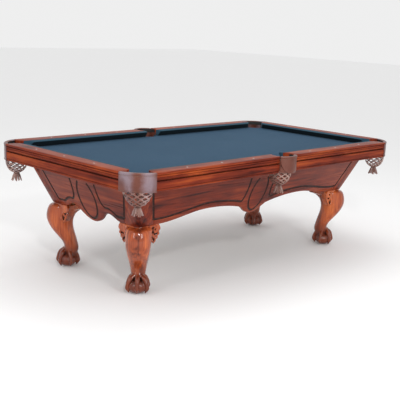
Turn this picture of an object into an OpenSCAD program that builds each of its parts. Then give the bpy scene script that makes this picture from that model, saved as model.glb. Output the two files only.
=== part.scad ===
// Eight-foot drop-pocket pool table with cabriole legs.
// Origin: on the floor under the middle of the bed. +X runs along the table, +Y across it, +Z up.
// Millimetres throughout.

/* [Playing field] */
// Length between the cushion noses
play_length = 2235.2; // [1800:0.1:2750]
// Width between the cushion noses
play_width = 1117.6; // [950:0.1:1380]
// Distance along a nose line from its corner to the cushion point
corner_point = 85; // [76:1:100]
// Half of the side pocket's mouth, measured along the nose line
side_point = 65; // [56:1:78]
// Radius of the drop hole in the slate
hole_radius = 58; // [50:1:70]

/* [Rails and cushions] */
// Height of the rail's top above the floor
table_height = 797; // [660:1:960]
// Width of a rail from the cushion nose to its outer face
rail_width = 133; // [110:1:160]
// Height of the rail's top above the cloth
rail_height = 43; // [36:1:52]
// Width of the cushion from its nose to the rail's wood
cushion_width = 42; // [34:1:50]
// Height of the cushion's nose above the cloth
nose_height = 36.5; // [30:0.5:40]
// Depth of the rail's nosing
cap_depth = 19; // [14:1:24]
// How far the rail is cut back from the table's corner for the pocket leather
corner_cut = 146; // [135:1:175]
// Half of the gap between the side rails for the side pocket's leather
side_cut = 78; // [74:1:95]
// Height of the blind below the rail's top
blind_height = 107; // [88:1:125]
// Thickness of the blind
blind_thickness = 24; // [18:1:30]

/* [Slate and cloth] */
// Thickness of the slate
slate_thickness = 25.4; // [19:0.1:32]
// How far the slate runs under the rails beyond the nose line
slate_overlap = 68; // [60:1:80]
// Gap between two slates
slate_gap = 0.4; // [0.2:0.1:2]
// Thickness of the cloth
cloth_thickness = 1; // [0.6:0.1:2]

/* [Cabinet] */
// Inward lean of the aprons from the vertical, in degrees
apron_lean = 22.3; // [10:0.1:28]
// Setback of the side aprons' top from the rails' outer face
side_setback = 144; // [130:1:165]
// Setback of the end aprons' top from the rails' outer face
end_setback = 132; // [118:1:155]
// Thickness of the aprons and posts
apron_thickness = 20; // [15:1:26]
// Drop of the cabinet below the slate at its corners
apron_drop = 303.6; // [250:0.1:350]
// Width of a corner post along each side of the corner
post_width = 118; // [95:1:140]
// Gap of the V groove between a post and an apron
post_gap = 0.5; // [0.3:0.1:3]
// Height of the arch in a side apron
side_arch_rise = 46; // [10:1:70]
// Height of the arch in an end apron
end_arch_rise = 35; // [10:1:60]
// How far the carved middle of an apron hangs below the posts
lobe_drop = 48; // [20:1:70]
// Half of the width of that middle
lobe_half = 112; // [80:1:130]

/* [Frame] */
// Height of the frame's beams
beam_height = 140; // [90:1:170]
// Width of the side and end beams at their foot
beam_width = 38; // [28:1:48]
// Width of the cross beams under the slates' joints
cross_width = 90; // [60:1:120]
// Width of the middle beam
middle_width = 44; // [30:1:70]
// Width of the square corner blocks
block_width = 122; // [100:1:128]

/* [Legs] */
// Setback of a foot's centre from the cabinet's corner, along X and along Y
foot_setback = 71; // [55:1:85]
// Radius of the flat underside of a foot
foot_pad_radius = 45; // [30:1:50]
// Reach of a leg's square head past the foot's centre, under the cabinet
head_reach = 95; // [80:1:115]
// Depth of the head at its inner edges
head_depth = 34; // [24:1:50]

/* [Pockets] */
// Radius of the corner leather's curve
leather_radius = 206; // [160:1:260]
// How far the side leather bulges past the rail
side_bulge = 42; // [20:1:60]
// Thickness of the leather
leather_thickness = 5; // [3:0.5:8]
// Thickness of the pocket iron inside the leather
iron_thickness = 12; // [6:0.5:16]
// Height of the pocket iron
iron_height = 24; // [14:1:34]
// Outer radius of the net's mouth
net_radius = 66; // [60:1:76]
// Thickness of the net
net_wall = 3; // [2:0.5:5]
// Height of the bag from its mouth to its gathered neck
net_height = 96; // [80:1:140]
// Length of the fringe below the bag
fringe_length = 56; // [30:1:80]

/* [Fasteners and sights] */
// Radius of the leg bolts
leg_bolt_radius = 5; // [4:0.5:8]
// Length of the leg bolts under their heads
leg_bolt_length = 130; // [90:1:180]
// Radius of the rail bolts
rail_bolt_radius = 4; // [3:0.5:6]
// Radius of the slate screws
screw_radius = 3; // [2:0.5:4]
// Length of the slate screws below the slate
screw_reach = 36; // [20:1:60]
// Clearance of a shank in its hole
shank_clearance = 0.05; // [0.02:0.01:0.5]
// Radius of a sight
sight_radius = 5.5; // [4:0.5:8]
// Distance from the nose line to a sight
sight_distance = 87; // [60:1:100]

/* [Hidden] */
$fn = 48;
// Segments of the large pocket circles
fine = 96;
eps = 0.01;
// Larger than the whole table
big = 4000;
// Gap between pieces that are fitted together
fit_gap = 0.3;
// How far a cutting shape runs past what it cuts
past = 1;

wood = [0.46, 0.19, 0.11];
dark_wood = [0.36, 0.14, 0.09];
pale_wood = [0.72, 0.56, 0.38];
leather_brown = [0.36, 0.18, 0.14];
slate_blue = [0.22, 0.36, 0.46];

// Half sizes of the playing field, the rails' outer face, the slate and the cabinet's top
px = play_length / 2;
py = play_width / 2;
ox = px + rail_width;
oy = py + rail_width;
sx = px + slate_overlap;
sy = py + slate_overlap;
cx = ox - end_setback;
cy = oy - side_setback;

// Heights
bed_z = table_height - rail_height;
slate_top = bed_z - cloth_thickness;
slate_bottom = slate_top - slate_thickness;
blind_bottom = table_height - blind_height;
cap_bottom = table_height - cap_depth;
beam_bottom = slate_bottom - beam_height;
leg_top = slate_bottom - apron_drop;

// The leaning cabinet: half sizes of its outer faces at height z
lean_run = tan(apron_lean);
function cab_x(z) = cx - (slate_bottom - z) * lean_run;
function cab_y(z) = cy - (slate_bottom - z) * lean_run;
// Horizontal thickness of a leaning board
board_run = apron_thickness / cos(apron_lean);

// Places along the rails
corner_angle = 38.7;
side_angle = 77;
nose_run = cushion_width / tan(corner_angle);
side_run = cushion_width / tan(side_angle);
corner_nose_x = px - corner_point;
corner_nose_y = py - corner_point;
corner_end_x = ox - corner_cut;
corner_end_y = oy - corner_cut;
shoulder_step = 38;
shoulder = cushion_width + shoulder_step;

// Pocket places: the holes sit past the nose lines, and the nets a little past the holes
corner_hole_out = 36;
corner_net_out = 4;
side_hole_out = 5;
side_net_shift = 6;
corner_hole = corner_hole_out / sqrt(2);
side_hole = hole_radius + side_hole_out;
net_shift = corner_net_out / sqrt(2);
// How much narrower a notch is than its hole
notch_step = 1;
// Space left round a net by the boards beside it
net_room = 2;
// How far a net's mouth stands above the blind's foot
net_lift = 10;
net_top = blind_bottom + net_lift;
net_bottom = net_top - net_height;
fringe_bottom = net_bottom - fringe_length;

// Circle of the corner leather, whose chord joins the cut ends of two rails
corner_chord = corner_cut / sqrt(2);
corner_back = sqrt(pow(leather_radius, 2) - pow(corner_chord, 2)) / sqrt(2);
corner_cx = (corner_end_x + ox) / 2 - corner_back;
corner_cy = (corner_end_y + oy) / 2 - corner_back;
// Circle of the side leather
side_radius = (pow(side_cut, 2) + pow(side_bulge, 2)) / (2 * side_bulge);
side_cy = oy + side_bulge - side_radius;

// Slates and their joints
slate_step = 2 * sx / 3;
// Bolts, screws and sights
bolt_seat = 60;
bolt_washer = [11, 2];
bolt_head = [9, 9];
counterbore_radius = 13;
block_gap = 4;
bolt_room = 0.5;
screw_sink = 6;
screw_head = 5;
screw_share = 0.3;
joint_screw_out = 1.6 * middle_width;
rail_bolt_head = 3;
rail_bolt_washer = [6, 2];
rail_bolt_head_height = 7;
// How far a rail bolt ends below the rail's nosing
rail_bolt_short = 6;
screw_room = 0.4;
sight_depth = 2.8;
sight_pocket = 3;
sight_room = 0.1;
rail_bolt_out = (cushion_width + slate_overlap) / 2;
sight_step_x = play_length / 8;
sight_step_y = play_width / 4;
side_bolt_x = [for (k = [1, 2, 3]) k * sight_step_x];
end_bolt_y = [for (k = [-1, 0, 1]) k * sight_step_y];

// The aprons' lower edge, as a height above the posts' foot at a distance u from the middle
lobe_lip = 6;
function lobe(u) = -lobe_drop + (lobe_drop + lobe_lip) * pow(u / lobe_half, 2);
lobe_ease = 2.2;
function arch_in(u, top, rise) =
    rise - (rise - lobe_lip) * pow((top - u) / (top - lobe_half), lobe_ease);
function arch_out(u, top, foot, rise) =
    rise * (1 + cos(180 * (u - top) / (foot - top))) / 2;
function lower_edge(u, top, foot, rise) =
    u < lobe_half ? lobe(u) :
    u < top ? arch_in(u, top, rise) :
    u < foot ? arch_out(u, top, foot, rise) : 0;
post_foot_x = cab_x(leg_top) - post_width;
post_foot_y = cab_y(leg_top) - post_width;
// Where an arch is highest, as a share of the way to the post, and how far from it the arch ends
side_arch_share = 0.44;
end_arch_share = 0.34;
side_arch_end = 46;
end_arch_end = 36;
side_arch_top = lobe_half + (post_foot_x - lobe_half) * side_arch_share;
side_arch_foot = post_foot_x - side_arch_end;
end_arch_top = lobe_half + (post_foot_y - lobe_half) * end_arch_share;
end_arch_foot = post_foot_y - end_arch_end;
// Spacing of the points along an apron's lower edge
edge_pitch = 20;

// A leg's outline along the diagonal: share of its height, front, back and half width
LEG = [
    [0.008, 40, -50, 44], [0.045, 61, -71, 63], [0.105, 69, -79, 75], [0.175, 60, -82, 74],
    [0.235, 31, -83, 58], [0.295, 15, -82, 48], [0.345, 17, -76, 49], [0.405, 33, -69, 54],
    [0.475, 59, -60, 60], [0.565, 92, -45, 71], [0.66, 119, -36, 82], [0.755, 132, -40, 91],
    [0.84, 133, -56, 96], [0.92, 121, -72, 98], [1, 105, -84, 96]
];
leg_sides = 28;
// Below 1, a leg's section is squarer than an ellipse
leg_squareness = 0.9;
foot_pad_height = 8;
foot_x = cab_x(leg_top) - foot_setback;
foot_y = cab_y(leg_top) - foot_setback;
leg_bolt_spots = [[-22, 18], [18, -22]];
block_top = beam_bottom;
block_counterbore = block_top - leg_top - bolt_seat;
// Where the cove under the leg's head ends, past the foot's centre, and how far in the head runs
head_step = 20;
head_inset = 30;
cove_pitch = 15;

// Sections of the rail, the blind and the cushion
nosing_share = 0.45;
cap_undercut = 6;
blind_setback = 5;
reed_radius = 5;
reed_bulge = 3;
reed_top = 4;
reed_pitch = 2.2;
groove_depth = 7;
cushion_foot = 0.62;
cushion_lift = 0.5;
nose_round = 2.5;
// The side rail's rounded horn beside its pocket
horn_x = 12;
horn_y = 28;

CORNERS = [[-1, -1], [1, -1], [1, 1], [-1, 1]];

// ---- Placing helpers ----------------------------------------------------------------------

// Puts a shape drawn for the corner at +X +Y into another corner
module at_corner(c) {
    mirror([c[0] < 0 ? 1 : 0, 0, 0]) mirror([0, c[1] < 0 ? 1 : 0, 0]) children();
}

// A section drawn as (distance out from the nose line, height), laid along the +Y side
module along_side(x0, x1) {
    translate([x0, py, 0]) rotate([90, 0, 90]) linear_extrude(x1 - x0) children();
}

// The same section laid along the +X end
module along_end(y0, y1) {
    translate([px, y1, 0]) rotate([90, 0, 0]) linear_extrude(y1 - y0) children();
}

// Everything in the plan polygon, through the full height
module plan_prism(points) {
    translate([0, 0, -past]) linear_extrude(table_height + 2 * past) polygon(points);
}

// ---- Legs ---------------------------------------------------------------------------------

// The points of one section of a leg
function leg_ring(s, height) = [for (k = [0:leg_sides - 1])
    let (a = 360 * k / leg_sides, p = leg_squareness)
    [(s[1] + s[2]) / 2 + (s[1] - s[2]) / 2 * sign(cos(a)) * pow(abs(cos(a)), p),
     s[3] * sign(sin(a)) * pow(abs(sin(a)), p),
     s[0] * height]];

// The carved body: rings of points joined by quads, closed at both ends
module leg_body(height) {
    points = [for (s = LEG) each leg_ring(s, height)];
    last = len(LEG) - 1;
    sides = [for (i = [0:last - 1], k = [0:leg_sides - 1])
        let (n = (k + 1) % leg_sides)
        [i * leg_sides + k, (i + 1) * leg_sides + k, (i + 1) * leg_sides + n, i * leg_sides + n]];
    foot = [for (k = [0:leg_sides - 1]) k];
    head = [for (k = [leg_sides - 1:-1:0]) last * leg_sides + k];
    polyhedron(points, concat([foot], sides, [head]), convexity = 4);
}

// Profile of the leg's head under one apron: flush with the cabinet's corner outside, coved inside
module head_profile(height) {
    cove = head_reach - head_step;
    arc = [for (a = [0:cove_pitch:90])
        [-head_reach + cove * sin(a), height - head_depth - cove * (1 - cos(a))]];
    translate([0, foot_setback, 0]) rotate([90, 0, 0]) linear_extrude(foot_setback + head_reach)
        polygon(concat([[foot_setback, height], [-head_reach, height]], arc,
            [[foot_setback - head_inset, height - head_depth - cove],
             [foot_setback, height - head_depth]]));
}

// Square head that carries the cabinet's corner, coved on both inner sides
module leg_head(height) {
    intersection() {
        head_profile(height);
        mirror([1, -1, 0]) head_profile(height);
    }
}

module leg_bolt_holes(radius) {
    for (s = leg_bolt_spots)
        translate([foot_x + s[0], foot_y + s[1], leg_top + bolt_seat - leg_bolt_length])
            cylinder(h = leg_bolt_length + eps, r = radius);
}

module leg(c) {
    color(wood) at_corner(c) difference() {
        translate([foot_x, foot_y, 0]) union() {
            rotate([0, 0, 45]) leg_body(leg_top);
            cylinder(h = foot_pad_height, r = foot_pad_radius);
            leg_head(leg_top);
        }
        leg_bolt_holes(leg_bolt_radius + shank_clearance);
    }
}

module leg_bolts() {
    color("silver") for (c = CORNERS) at_corner(c) {
        leg_bolt_holes(leg_bolt_radius);
        for (s = leg_bolt_spots)
            translate([foot_x + s[0], foot_y + s[1], leg_top + bolt_seat]) {
                cylinder(h = bolt_washer[1], r = bolt_washer[0]);
                cylinder(h = bolt_head[1], r = bolt_head[0], $fn = 6);
            }
    }
}

module corner_blocks() {
    outer_x = cab_x(leg_top) - board_run - block_gap;
    outer_y = cab_y(leg_top) - board_run - block_gap;
    color(pale_wood) for (c = CORNERS) at_corner(c) difference() {
        translate([outer_x - block_width, outer_y - block_width, leg_top])
            cube([block_width, block_width, block_top - leg_top]);
        for (s = leg_bolt_spots) translate([foot_x + s[0], foot_y + s[1], leg_top]) {
            translate([0, 0, -past])
                cylinder(h = bolt_seat + 2 * past, r = leg_bolt_radius + bolt_room);
            translate([0, 0, bolt_seat])
                cylinder(h = block_counterbore + past, r = counterbore_radius);
        }
    }
}

// ---- Cabinet ------------------------------------------------------------------------------

// A board in the plane of the +Y side's leaning face. Its outline is drawn as (x, height), and
// heights are measured along the slope from the cabinet's top edge
module side_board(points) {
    translate([0, cy, slate_bottom]) rotate([90 - apron_lean, 0, 0])
        linear_extrude(apron_thickness) polygon(points);
}

// The same board in the plane of the +X end's leaning face
module end_board(points) {
    translate([cx, 0, slate_bottom]) rotate([90 + apron_lean, 0, 90])
        mirror([0, 0, 1]) linear_extrude(apron_thickness) polygon(points);
}

// Distance down the slope for a height z
function down(z) = -(slate_bottom - z) / cos(apron_lean);

// Outline of an apron between its two posts, with its lower edge
function apron_outline(half_top, half_foot, top, foot, rise) = concat(
    [[-half_top, down(slate_bottom)], [-half_foot, down(leg_top)]],
    [for (u = [-half_foot + edge_pitch:edge_pitch:half_foot - edge_pitch])
        [u, down(leg_top + lower_edge(abs(u), top, foot, rise))]],
    [[half_foot, down(leg_top)], [half_top, down(slate_bottom)]]);

// Space kept free for the pocket nets, a little wider than they are
module net_clearance() {
    for (c = CORNERS) at_corner(c)
        translate([px + corner_hole + net_shift, py + corner_hole + net_shift, leg_top])
            cylinder(h = table_height, r = net_radius + net_room);
    for (s = [-1, 1]) translate([0, s * (py + side_hole + side_net_shift), leg_top])
        cylinder(h = table_height, r = net_radius + net_room);
}

module above_cabinet() {
    translate([-big, -big, slate_bottom - fit_gap]) cube([2 * big, 2 * big, big]);
}

module side_apron() {
    color(wood) difference() {
        side_board(apron_outline(cx - post_width - post_gap, post_foot_x - post_gap,
            side_arch_top, side_arch_foot, side_arch_rise));
        above_cabinet();
        net_clearance();
    }
}

module end_apron() {
    color(wood) difference() {
        end_board(apron_outline(cy - post_width - post_gap, post_foot_y - post_gap,
            end_arch_top, end_arch_foot, end_arch_rise));
        above_cabinet();
    }
}

// A corner post is two leaning leaves joined at the corner's edge
module post(c) {
    leaf_x = [[cx - post_width, 0], [post_foot_x, down(leg_top)],
        [cab_x(leg_top), down(leg_top)], [cx, 0]];
    leaf_y = [[cy - post_width, 0], [post_foot_y, down(leg_top)],
        [cab_y(leg_top), down(leg_top)], [cy, 0]];
    color(dark_wood) at_corner(c) difference() {
        union() {
            side_board(leaf_x);
            end_board(leaf_y);
        }
        above_cabinet();
        translate([-big, -big, leg_top - big]) cube([2 * big, 2 * big, big]);
        net_clearance();
    }
}

// ---- Frame --------------------------------------------------------------------------------

// Section of a beam that backs a leaning apron; x is the height's outer face at the top
module beam_section(top_out) {
    inner = top_out - beam_height * lean_run - beam_width;
    polygon([[inner, beam_bottom], [inner + beam_width, beam_bottom],
        [top_out, slate_bottom], [inner, slate_bottom]]);
}

module beam_screw_holes() {
    slate_screw_spots() translate([0, 0, slate_bottom - screw_reach - past])
        cylinder(h = screw_reach + 2 * past, r = screw_radius + shank_clearance);
}

beam_top_y = cy - board_run - fit_gap;
beam_top_x = cx - board_run - fit_gap;
beam_in_y = beam_top_y - beam_height * lean_run - beam_width;
beam_in_x = beam_top_x - beam_height * lean_run - beam_width;
beam_end_x = beam_in_x + beam_width;

module side_beam() {
    color(pale_wood) difference() {
        translate([-beam_end_x, 0, 0]) rotate([90, 0, 90]) linear_extrude(2 * beam_end_x)
            beam_section(beam_top_y);
        beam_screw_holes();
    }
}

module end_beam() {
    color(pale_wood) difference() {
        translate([0, beam_in_y, 0]) rotate([90, 0, 0]) linear_extrude(2 * beam_in_y)
            beam_section(beam_top_x);
        beam_screw_holes();
    }
}

module cross_beam() {
    color(pale_wood) difference() {
        translate([slate_step / 2 - cross_width / 2, -beam_in_y, beam_bottom])
            cube([cross_width, 2 * beam_in_y, beam_height]);
        beam_screw_holes();
    }
}

module middle_beams() {
    inner = slate_step / 2 - cross_width / 2;
    outer = slate_step / 2 + cross_width / 2;
    color(pale_wood) {
        translate([-inner, -middle_width / 2, beam_bottom])
            cube([2 * inner, middle_width, beam_height]);
        for (s = [0, 1]) mirror([s, 0, 0])
            translate([outer, -middle_width / 2, beam_bottom])
                cube([beam_in_x - outer, middle_width, beam_height]);
    }
}

// ---- Slate and cloth ----------------------------------------------------------------------

// Plan of the bed, with the pocket notches open to its edges
module bed_plan() {
    difference() {
        square([2 * sx, 2 * sy], center = true);
        for (sxn = [-1, 1], syn = [-1, 1]) scale([sxn, syn]) corner_notch();
        for (s = [-1, 1]) translate([0, s * (py + side_hole)]) side_notch(s);
        rail_bolt_plan(rail_bolt_radius + rail_bolt_head);
    }
}

module corner_notch() {
    half = hole_radius - notch_step;
    translate([px + corner_hole, py + corner_hole]) {
        circle(r = hole_radius);
        rotate(45) translate([0, -half]) square([2 * hole_radius, 2 * half]);
    }
}

module side_notch(s) {
    half = hole_radius - notch_step;
    circle(r = hole_radius);
    translate([-half, s > 0 ? 0 : -2 * hole_radius]) square([2 * half, 2 * hole_radius]);
}

// Places of the rail bolts, three to a rail
module rail_bolt_plan(radius) {
    for (s = [-1, 1]) {
        for (t = [-1, 1], x = side_bolt_x)
            translate([t * x, s * (py + rail_bolt_out)]) circle(r = radius);
        for (y = end_bolt_y)
            translate([s * (px + rail_bolt_out), y]) circle(r = radius);
    }
}

// Places of the slate screws: two to a piece over each side beam, and one on either side of a joint
module slate_screw_spots() {
    beam_y = beam_in_y + beam_width / 2;
    joint = slate_step / 2;
    edge = cross_width / 4;
    for (i = [-1, 0, 1], s = [-1, 1], t = [-screw_share, screw_share])
        translate([(i + t) * slate_step, s * beam_y, 0]) children();
    for (s = [-1, 1], k = [-1, 1])
        translate([s * (joint + k * edge), k * joint_screw_out, 0]) children();
}

module slate(i) {
    color("slategray") difference() {
        translate([0, 0, slate_bottom]) linear_extrude(slate_thickness) intersection() {
            bed_plan();
            translate([i * slate_step, 0])
                square([slate_step - slate_gap, 2 * (sy + past)], center = true);
        }
        slate_screw_spots() {
            translate([0, 0, slate_bottom - past])
                cylinder(h = slate_thickness + 2 * past, r = screw_radius + screw_room);
            translate([0, 0, slate_top - screw_sink])
                cylinder(h = screw_sink + past, r = 2 * screw_radius + screw_room);
        }
    }
}

module slate_screws() {
    color("silver") slate_screw_spots() {
        translate([0, 0, slate_bottom - screw_reach])
            cylinder(h = screw_reach + slate_thickness - screw_sink, r = screw_radius);
        translate([0, 0, slate_top - screw_sink]) cylinder(h = screw_head, r = 2 * screw_radius);
    }
}

module bed_cloth() {
    color(slate_blue) translate([0, 0, slate_top]) linear_extrude(cloth_thickness) bed_plan();
}

// ---- Rails, blinds and cushions -----------------------------------------------------------

// Wood of a rail: flat top, rounded nosing, and a sub-rail that stands on the slate
module rail_section() {
    nose_r = cap_depth * nosing_share;
    back = rail_width - blind_thickness - blind_setback;
    out = rail_width - nose_r;
    rounded = [for (a = [90:-cove_pitch:-75])
        [out + nose_r * cos(a), table_height - nose_r + nose_r * sin(a)]];
    polygon(concat([[cushion_width, bed_z], [cushion_width, table_height]], rounded,
        [[rail_width - cap_undercut, cap_bottom], [back, cap_bottom], [back, bed_z]]));
}

// Moulded board under the rail: two reeds, a groove, a flat band and a lip
module blind_section() {
    back = rail_width - blind_thickness - blind_setback + fit_gap;
    face = rail_width - blind_setback;
    top = cap_bottom - fit_gap;
    reeds = [for (k = [0, 1], a = [75:-25:-75])
        [face - reed_bulge * (1 - cos(a)),
         top - reed_top - reed_radius * (1 + k * reed_pitch - sin(a))]];
    groove_z = top - reed_top - 2 * reed_pitch * reed_radius;
    polygon(concat([[back, blind_bottom], [back, top], [face, top]], reeds,
        [[face - 2, groove_z], [face - groove_depth, groove_z - 3],
         [face - 2, groove_z - groove_depth], [face, groove_z - groove_depth],
         [face, blind_bottom + 14], [face - 3, blind_bottom + 12],
         [face - 1, blind_bottom + 6], [face - blind_setback, blind_bottom]]));
}

// Rubber cushion with its nose at the origin of the section
module cushion_section() {
    low = bed_z + cushion_lift;
    nose = bed_z + nose_height;
    polygon([[cushion_width - fit_gap, low], [cushion_width * cushion_foot, low],
        [nose_round, nose - nose_round], [0, nose], [nose_round, nose + nose_round],
        [cushion_width - fit_gap, table_height - 2 * cushion_lift]]);
}

// Plan of one half of a side rail, from the side pocket to the corner pocket
side_plan = [
    [side_point - side_run + past, py + cushion_width],
    [side_cut - horn_x, py + cushion_width + horn_x],
    [side_cut, py + cushion_width + horn_y], [side_cut, oy + past],
    [corner_end_x, oy + past], [corner_end_x, py + shoulder],
    [corner_nose_x + nose_run, py + cushion_width - eps]
];
// Plan of one half of an end rail
end_plan = [
    [px + cushion_width, 0], [ox + past, 0], [ox + past, corner_end_y],
    [px + shoulder, corner_end_y], [px + cushion_width - eps, corner_nose_y + nose_run]
];

module rail_bolt_holes() {
    translate([0, 0, slate_bottom]) linear_extrude(cap_bottom - slate_bottom)
        rail_bolt_plan(rail_bolt_radius + shank_clearance);
}

module sight_spots() {
    for (s = [-1, 1]) {
        for (t = [-1, 1], x = side_bolt_x)
            translate([t * x, s * (py + sight_distance), table_height]) children();
        for (y = end_bolt_y)
            translate([s * (px + sight_distance), y, table_height]) children();
    }
}

module sight_pockets() {
    sight_spots() translate([0, 0, -sight_pocket])
        cylinder(h = sight_pocket + past, r = sight_radius + sight_room);
}

module side_rail() {
    color(wood) difference() {
        intersection() {
            along_side(0, ox) rail_section();
            plan_prism(side_plan);
        }
        rail_bolt_holes();
        sight_pockets();
    }
}

module end_rail() {
    color(wood) difference() {
        intersection() {
            along_end(-oy, oy) rail_section();
            union() {
                plan_prism(end_plan);
                mirror([0, 1, 0]) plan_prism(end_plan);
            }
        }
        rail_bolt_holes();
        sight_pockets();
    }
}

module side_blind() {
    color(dark_wood) along_side(side_cut, corner_end_x) blind_section();
}

module end_blind() {
    color(dark_wood) along_end(-corner_end_y, corner_end_y) blind_section();
}

module side_cushion() {
    color(slate_blue) intersection() {
        along_side(0, px) cushion_section();
        plan_prism([[side_point, py - past], [side_point, py],
            [side_point - side_run, py + cushion_width],
            [corner_nose_x + nose_run, py + cushion_width], [corner_nose_x, py],
            [corner_nose_x, py - past]]);
    }
}

module end_cushion() {
    color(slate_blue) intersection() {
        along_end(-py, py) cushion_section();
        plan_prism([[px - past, -corner_nose_y], [px, -corner_nose_y],
            [px + cushion_width, -corner_nose_y - nose_run],
            [px + cushion_width, corner_nose_y + nose_run], [px, corner_nose_y],
            [px - past, corner_nose_y]]);
    }
}

module rail_bolts() {
    length = slate_thickness + rail_height - cap_depth - rail_bolt_short;
    washer = rail_bolt_washer[1];
    head = rail_bolt_head_height;
    color("silver") translate([0, 0, slate_bottom - washer]) {
        linear_extrude(length) rail_bolt_plan(rail_bolt_radius);
        linear_extrude(washer - fit_gap) rail_bolt_plan(rail_bolt_radius + rail_bolt_washer[0]);
        translate([0, 0, -head]) linear_extrude(head + washer / 4)
            rail_bolt_plan(rail_bolt_radius + rail_bolt_head);
    }
}

module sights() {
    color("ivory") sight_spots() translate([0, 0, -sight_depth])
        cylinder(h = sight_depth, r = sight_radius);
}

// ---- Pockets ------------------------------------------------------------------------------

// A band of the corner circle between two radii, kept to the gap between the rails
module corner_band(inner, outer, low, high) {
    intersection() {
        translate([corner_cx, corner_cy, low]) difference() {
            cylinder(h = high - low, r = outer, $fn = fine);
            translate([0, 0, -past]) cylinder(h = high - low + 2 * past, r = inner, $fn = fine);
        }
        translate([corner_end_x + fit_gap, corner_end_y + fit_gap, 0]) cube([big, big, big]);
    }
}

// How much of the rail's width, from its outer face, the side leather may take
side_band_share = 0.4;

module side_band(inner, outer, low, high) {
    intersection() {
        translate([0, side_cy, low]) difference() {
            cylinder(h = high - low, r = outer, $fn = fine);
            translate([0, 0, -past]) cylinder(h = high - low + 2 * past, r = inner, $fn = fine);
        }
        translate([-side_cut + fit_gap, oy - rail_width * side_band_share, 0])
            cube([2 * (side_cut - fit_gap), big, big]);
    }
}

iron_top = table_height - leather_thickness - fit_gap;
// How far a leather's rim runs in past its iron
rim_lap = 4;
rim_width = leather_thickness + iron_thickness + rim_lap;

module leather_shape(corner) {
    outer = corner ? leather_radius : side_radius;
    if (corner) {
        corner_band(outer - leather_thickness, outer, blind_bottom, table_height);
        corner_band(outer - rim_width, outer, table_height - leather_thickness, table_height);
    } else {
        side_band(outer - leather_thickness, outer, blind_bottom, table_height);
        side_band(outer - rim_width, outer, table_height - leather_thickness, table_height);
    }
}

module corner_leather(c) {
    color(leather_brown) at_corner(c) leather_shape(true);
}

module side_leather() {
    color(leather_brown) leather_shape(false);
}

module pocket_irons() {
    corner_out = leather_radius - leather_thickness - fit_gap;
    side_out = side_radius - leather_thickness - fit_gap;
    color("dimgray") {
        for (c = CORNERS) at_corner(c)
            corner_band(corner_out - iron_thickness, corner_out, iron_top - iron_height, iron_top);
        for (s = [0, 1]) mirror([0, s, 0])
            side_band(side_out - iron_thickness, side_out, iron_top - iron_height, iron_top);
    }
}

// Shares of the net's radius: the bag's curve, the neck, and the fringe's waist and foot
bag_curve = 0.72;
bag_squash = 0.95;
neck_share = 0.2;
waist_share = 0.36;
fringe_share = 0.5;
// Height of the fringe's waist as a share of its length, and the depth of the bound neck
waist_height = 0.45;
neck_depth = 4;
bag_last = 75;

// Lattice bag as a thin cup, gathered to a neck, with a flared fringe below
module net_shape() {
    curve = net_radius * bag_curve;
    drop = curve * bag_squash;
    knee = net_bottom + drop;
    neck = net_radius * neck_share;
    outer = [for (a = [bag_last:-cove_pitch:0])
        [net_radius - curve + curve * cos(a), knee - drop * sin(a)]];
    inner = [for (a = [0:cove_pitch:bag_last])
        [net_radius - curve + (curve - net_wall) * cos(a), knee - (drop - net_wall) * sin(a)]];
    fringe = [[0, fringe_bottom], [net_radius * fringe_share, fringe_bottom],
        [net_radius * waist_share, fringe_bottom + fringe_length * waist_height],
        [neck, net_bottom - neck_depth], [neck, net_bottom]];
    rotate_extrude() polygon(concat(fringe, outer,
        [[net_radius, net_top], [net_radius - net_wall, net_top]], inner,
        [[0, net_bottom + net_wall]]));
}

// Flat hem that joins the front of a bag to the leather. The leather's circle is the child
module net_hem(x, y, turn) {
    half = net_radius - notch_step;
    color(leather_brown) translate([0, 0, net_top - net_wall]) linear_extrude(net_wall)
        difference() {
            intersection() {
                children();
                translate([x, y]) rotate(turn) translate([0, -half]) square(2 * half);
            }
            translate([x, y]) circle(r = net_radius - net_wall / 2);
        }
}

module corner_net(c) {
    x = px + corner_hole + net_shift;
    y = py + corner_hole + net_shift;
    at_corner(c) {
        color(leather_brown) translate([x, y, 0]) net_shape();
        net_hem(x, y, 45) translate([corner_cx, corner_cy])
            circle(r = leather_radius - leather_thickness - fit_gap, $fn = fine);
    }
}

module side_net() {
    y = py + side_hole + side_net_shift;
    color(leather_brown) translate([0, y, 0]) net_shape();
    net_hem(0, y, 90) translate([0, side_cy])
        circle(r = side_radius - leather_thickness - fit_gap, $fn = fine);
}

// ---- One line for each node ---------------------------------------------------------------

leg(CORNERS[0]);  // leg_front_left
leg(CORNERS[1]);  // leg_front_right
leg(CORNERS[2]);  // leg_back_right
leg(CORNERS[3]);  // leg_back_left
leg_bolts();
corner_blocks();
post(CORNERS[0]);  // post_front_left
post(CORNERS[1]);  // post_front_right
post(CORNERS[2]);  // post_back_right
post(CORNERS[3]);  // post_back_left
mirror([0, 1, 0]) side_apron();  // apron_front
side_apron();  // apron_back
mirror([1, 0, 0]) end_apron();  // apron_left
end_apron();  // apron_right
mirror([0, 1, 0]) side_beam();  // side_beam_front
side_beam();  // side_beam_back
mirror([1, 0, 0]) end_beam();  // end_beam_left
end_beam();  // end_beam_right
mirror([1, 0, 0]) cross_beam();  // cross_beam_left
cross_beam();  // cross_beam_right
middle_beams();
slate(-1);  // slate_left
slate(0);  // slate_middle
slate(1);  // slate_right
slate_screws();
bed_cloth();
mirror([0, 1, 0]) mirror([1, 0, 0]) side_rail();  // rail_front_left
mirror([0, 1, 0]) side_rail();  // rail_front_right
mirror([1, 0, 0]) side_rail();  // rail_back_left
side_rail();  // rail_back_right
mirror([1, 0, 0]) end_rail();  // rail_end_left
end_rail();  // rail_end_right
mirror([0, 1, 0]) mirror([1, 0, 0]) side_blind();  // blind_front_left
mirror([0, 1, 0]) side_blind();  // blind_front_right
mirror([1, 0, 0]) side_blind();  // blind_back_left
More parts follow.
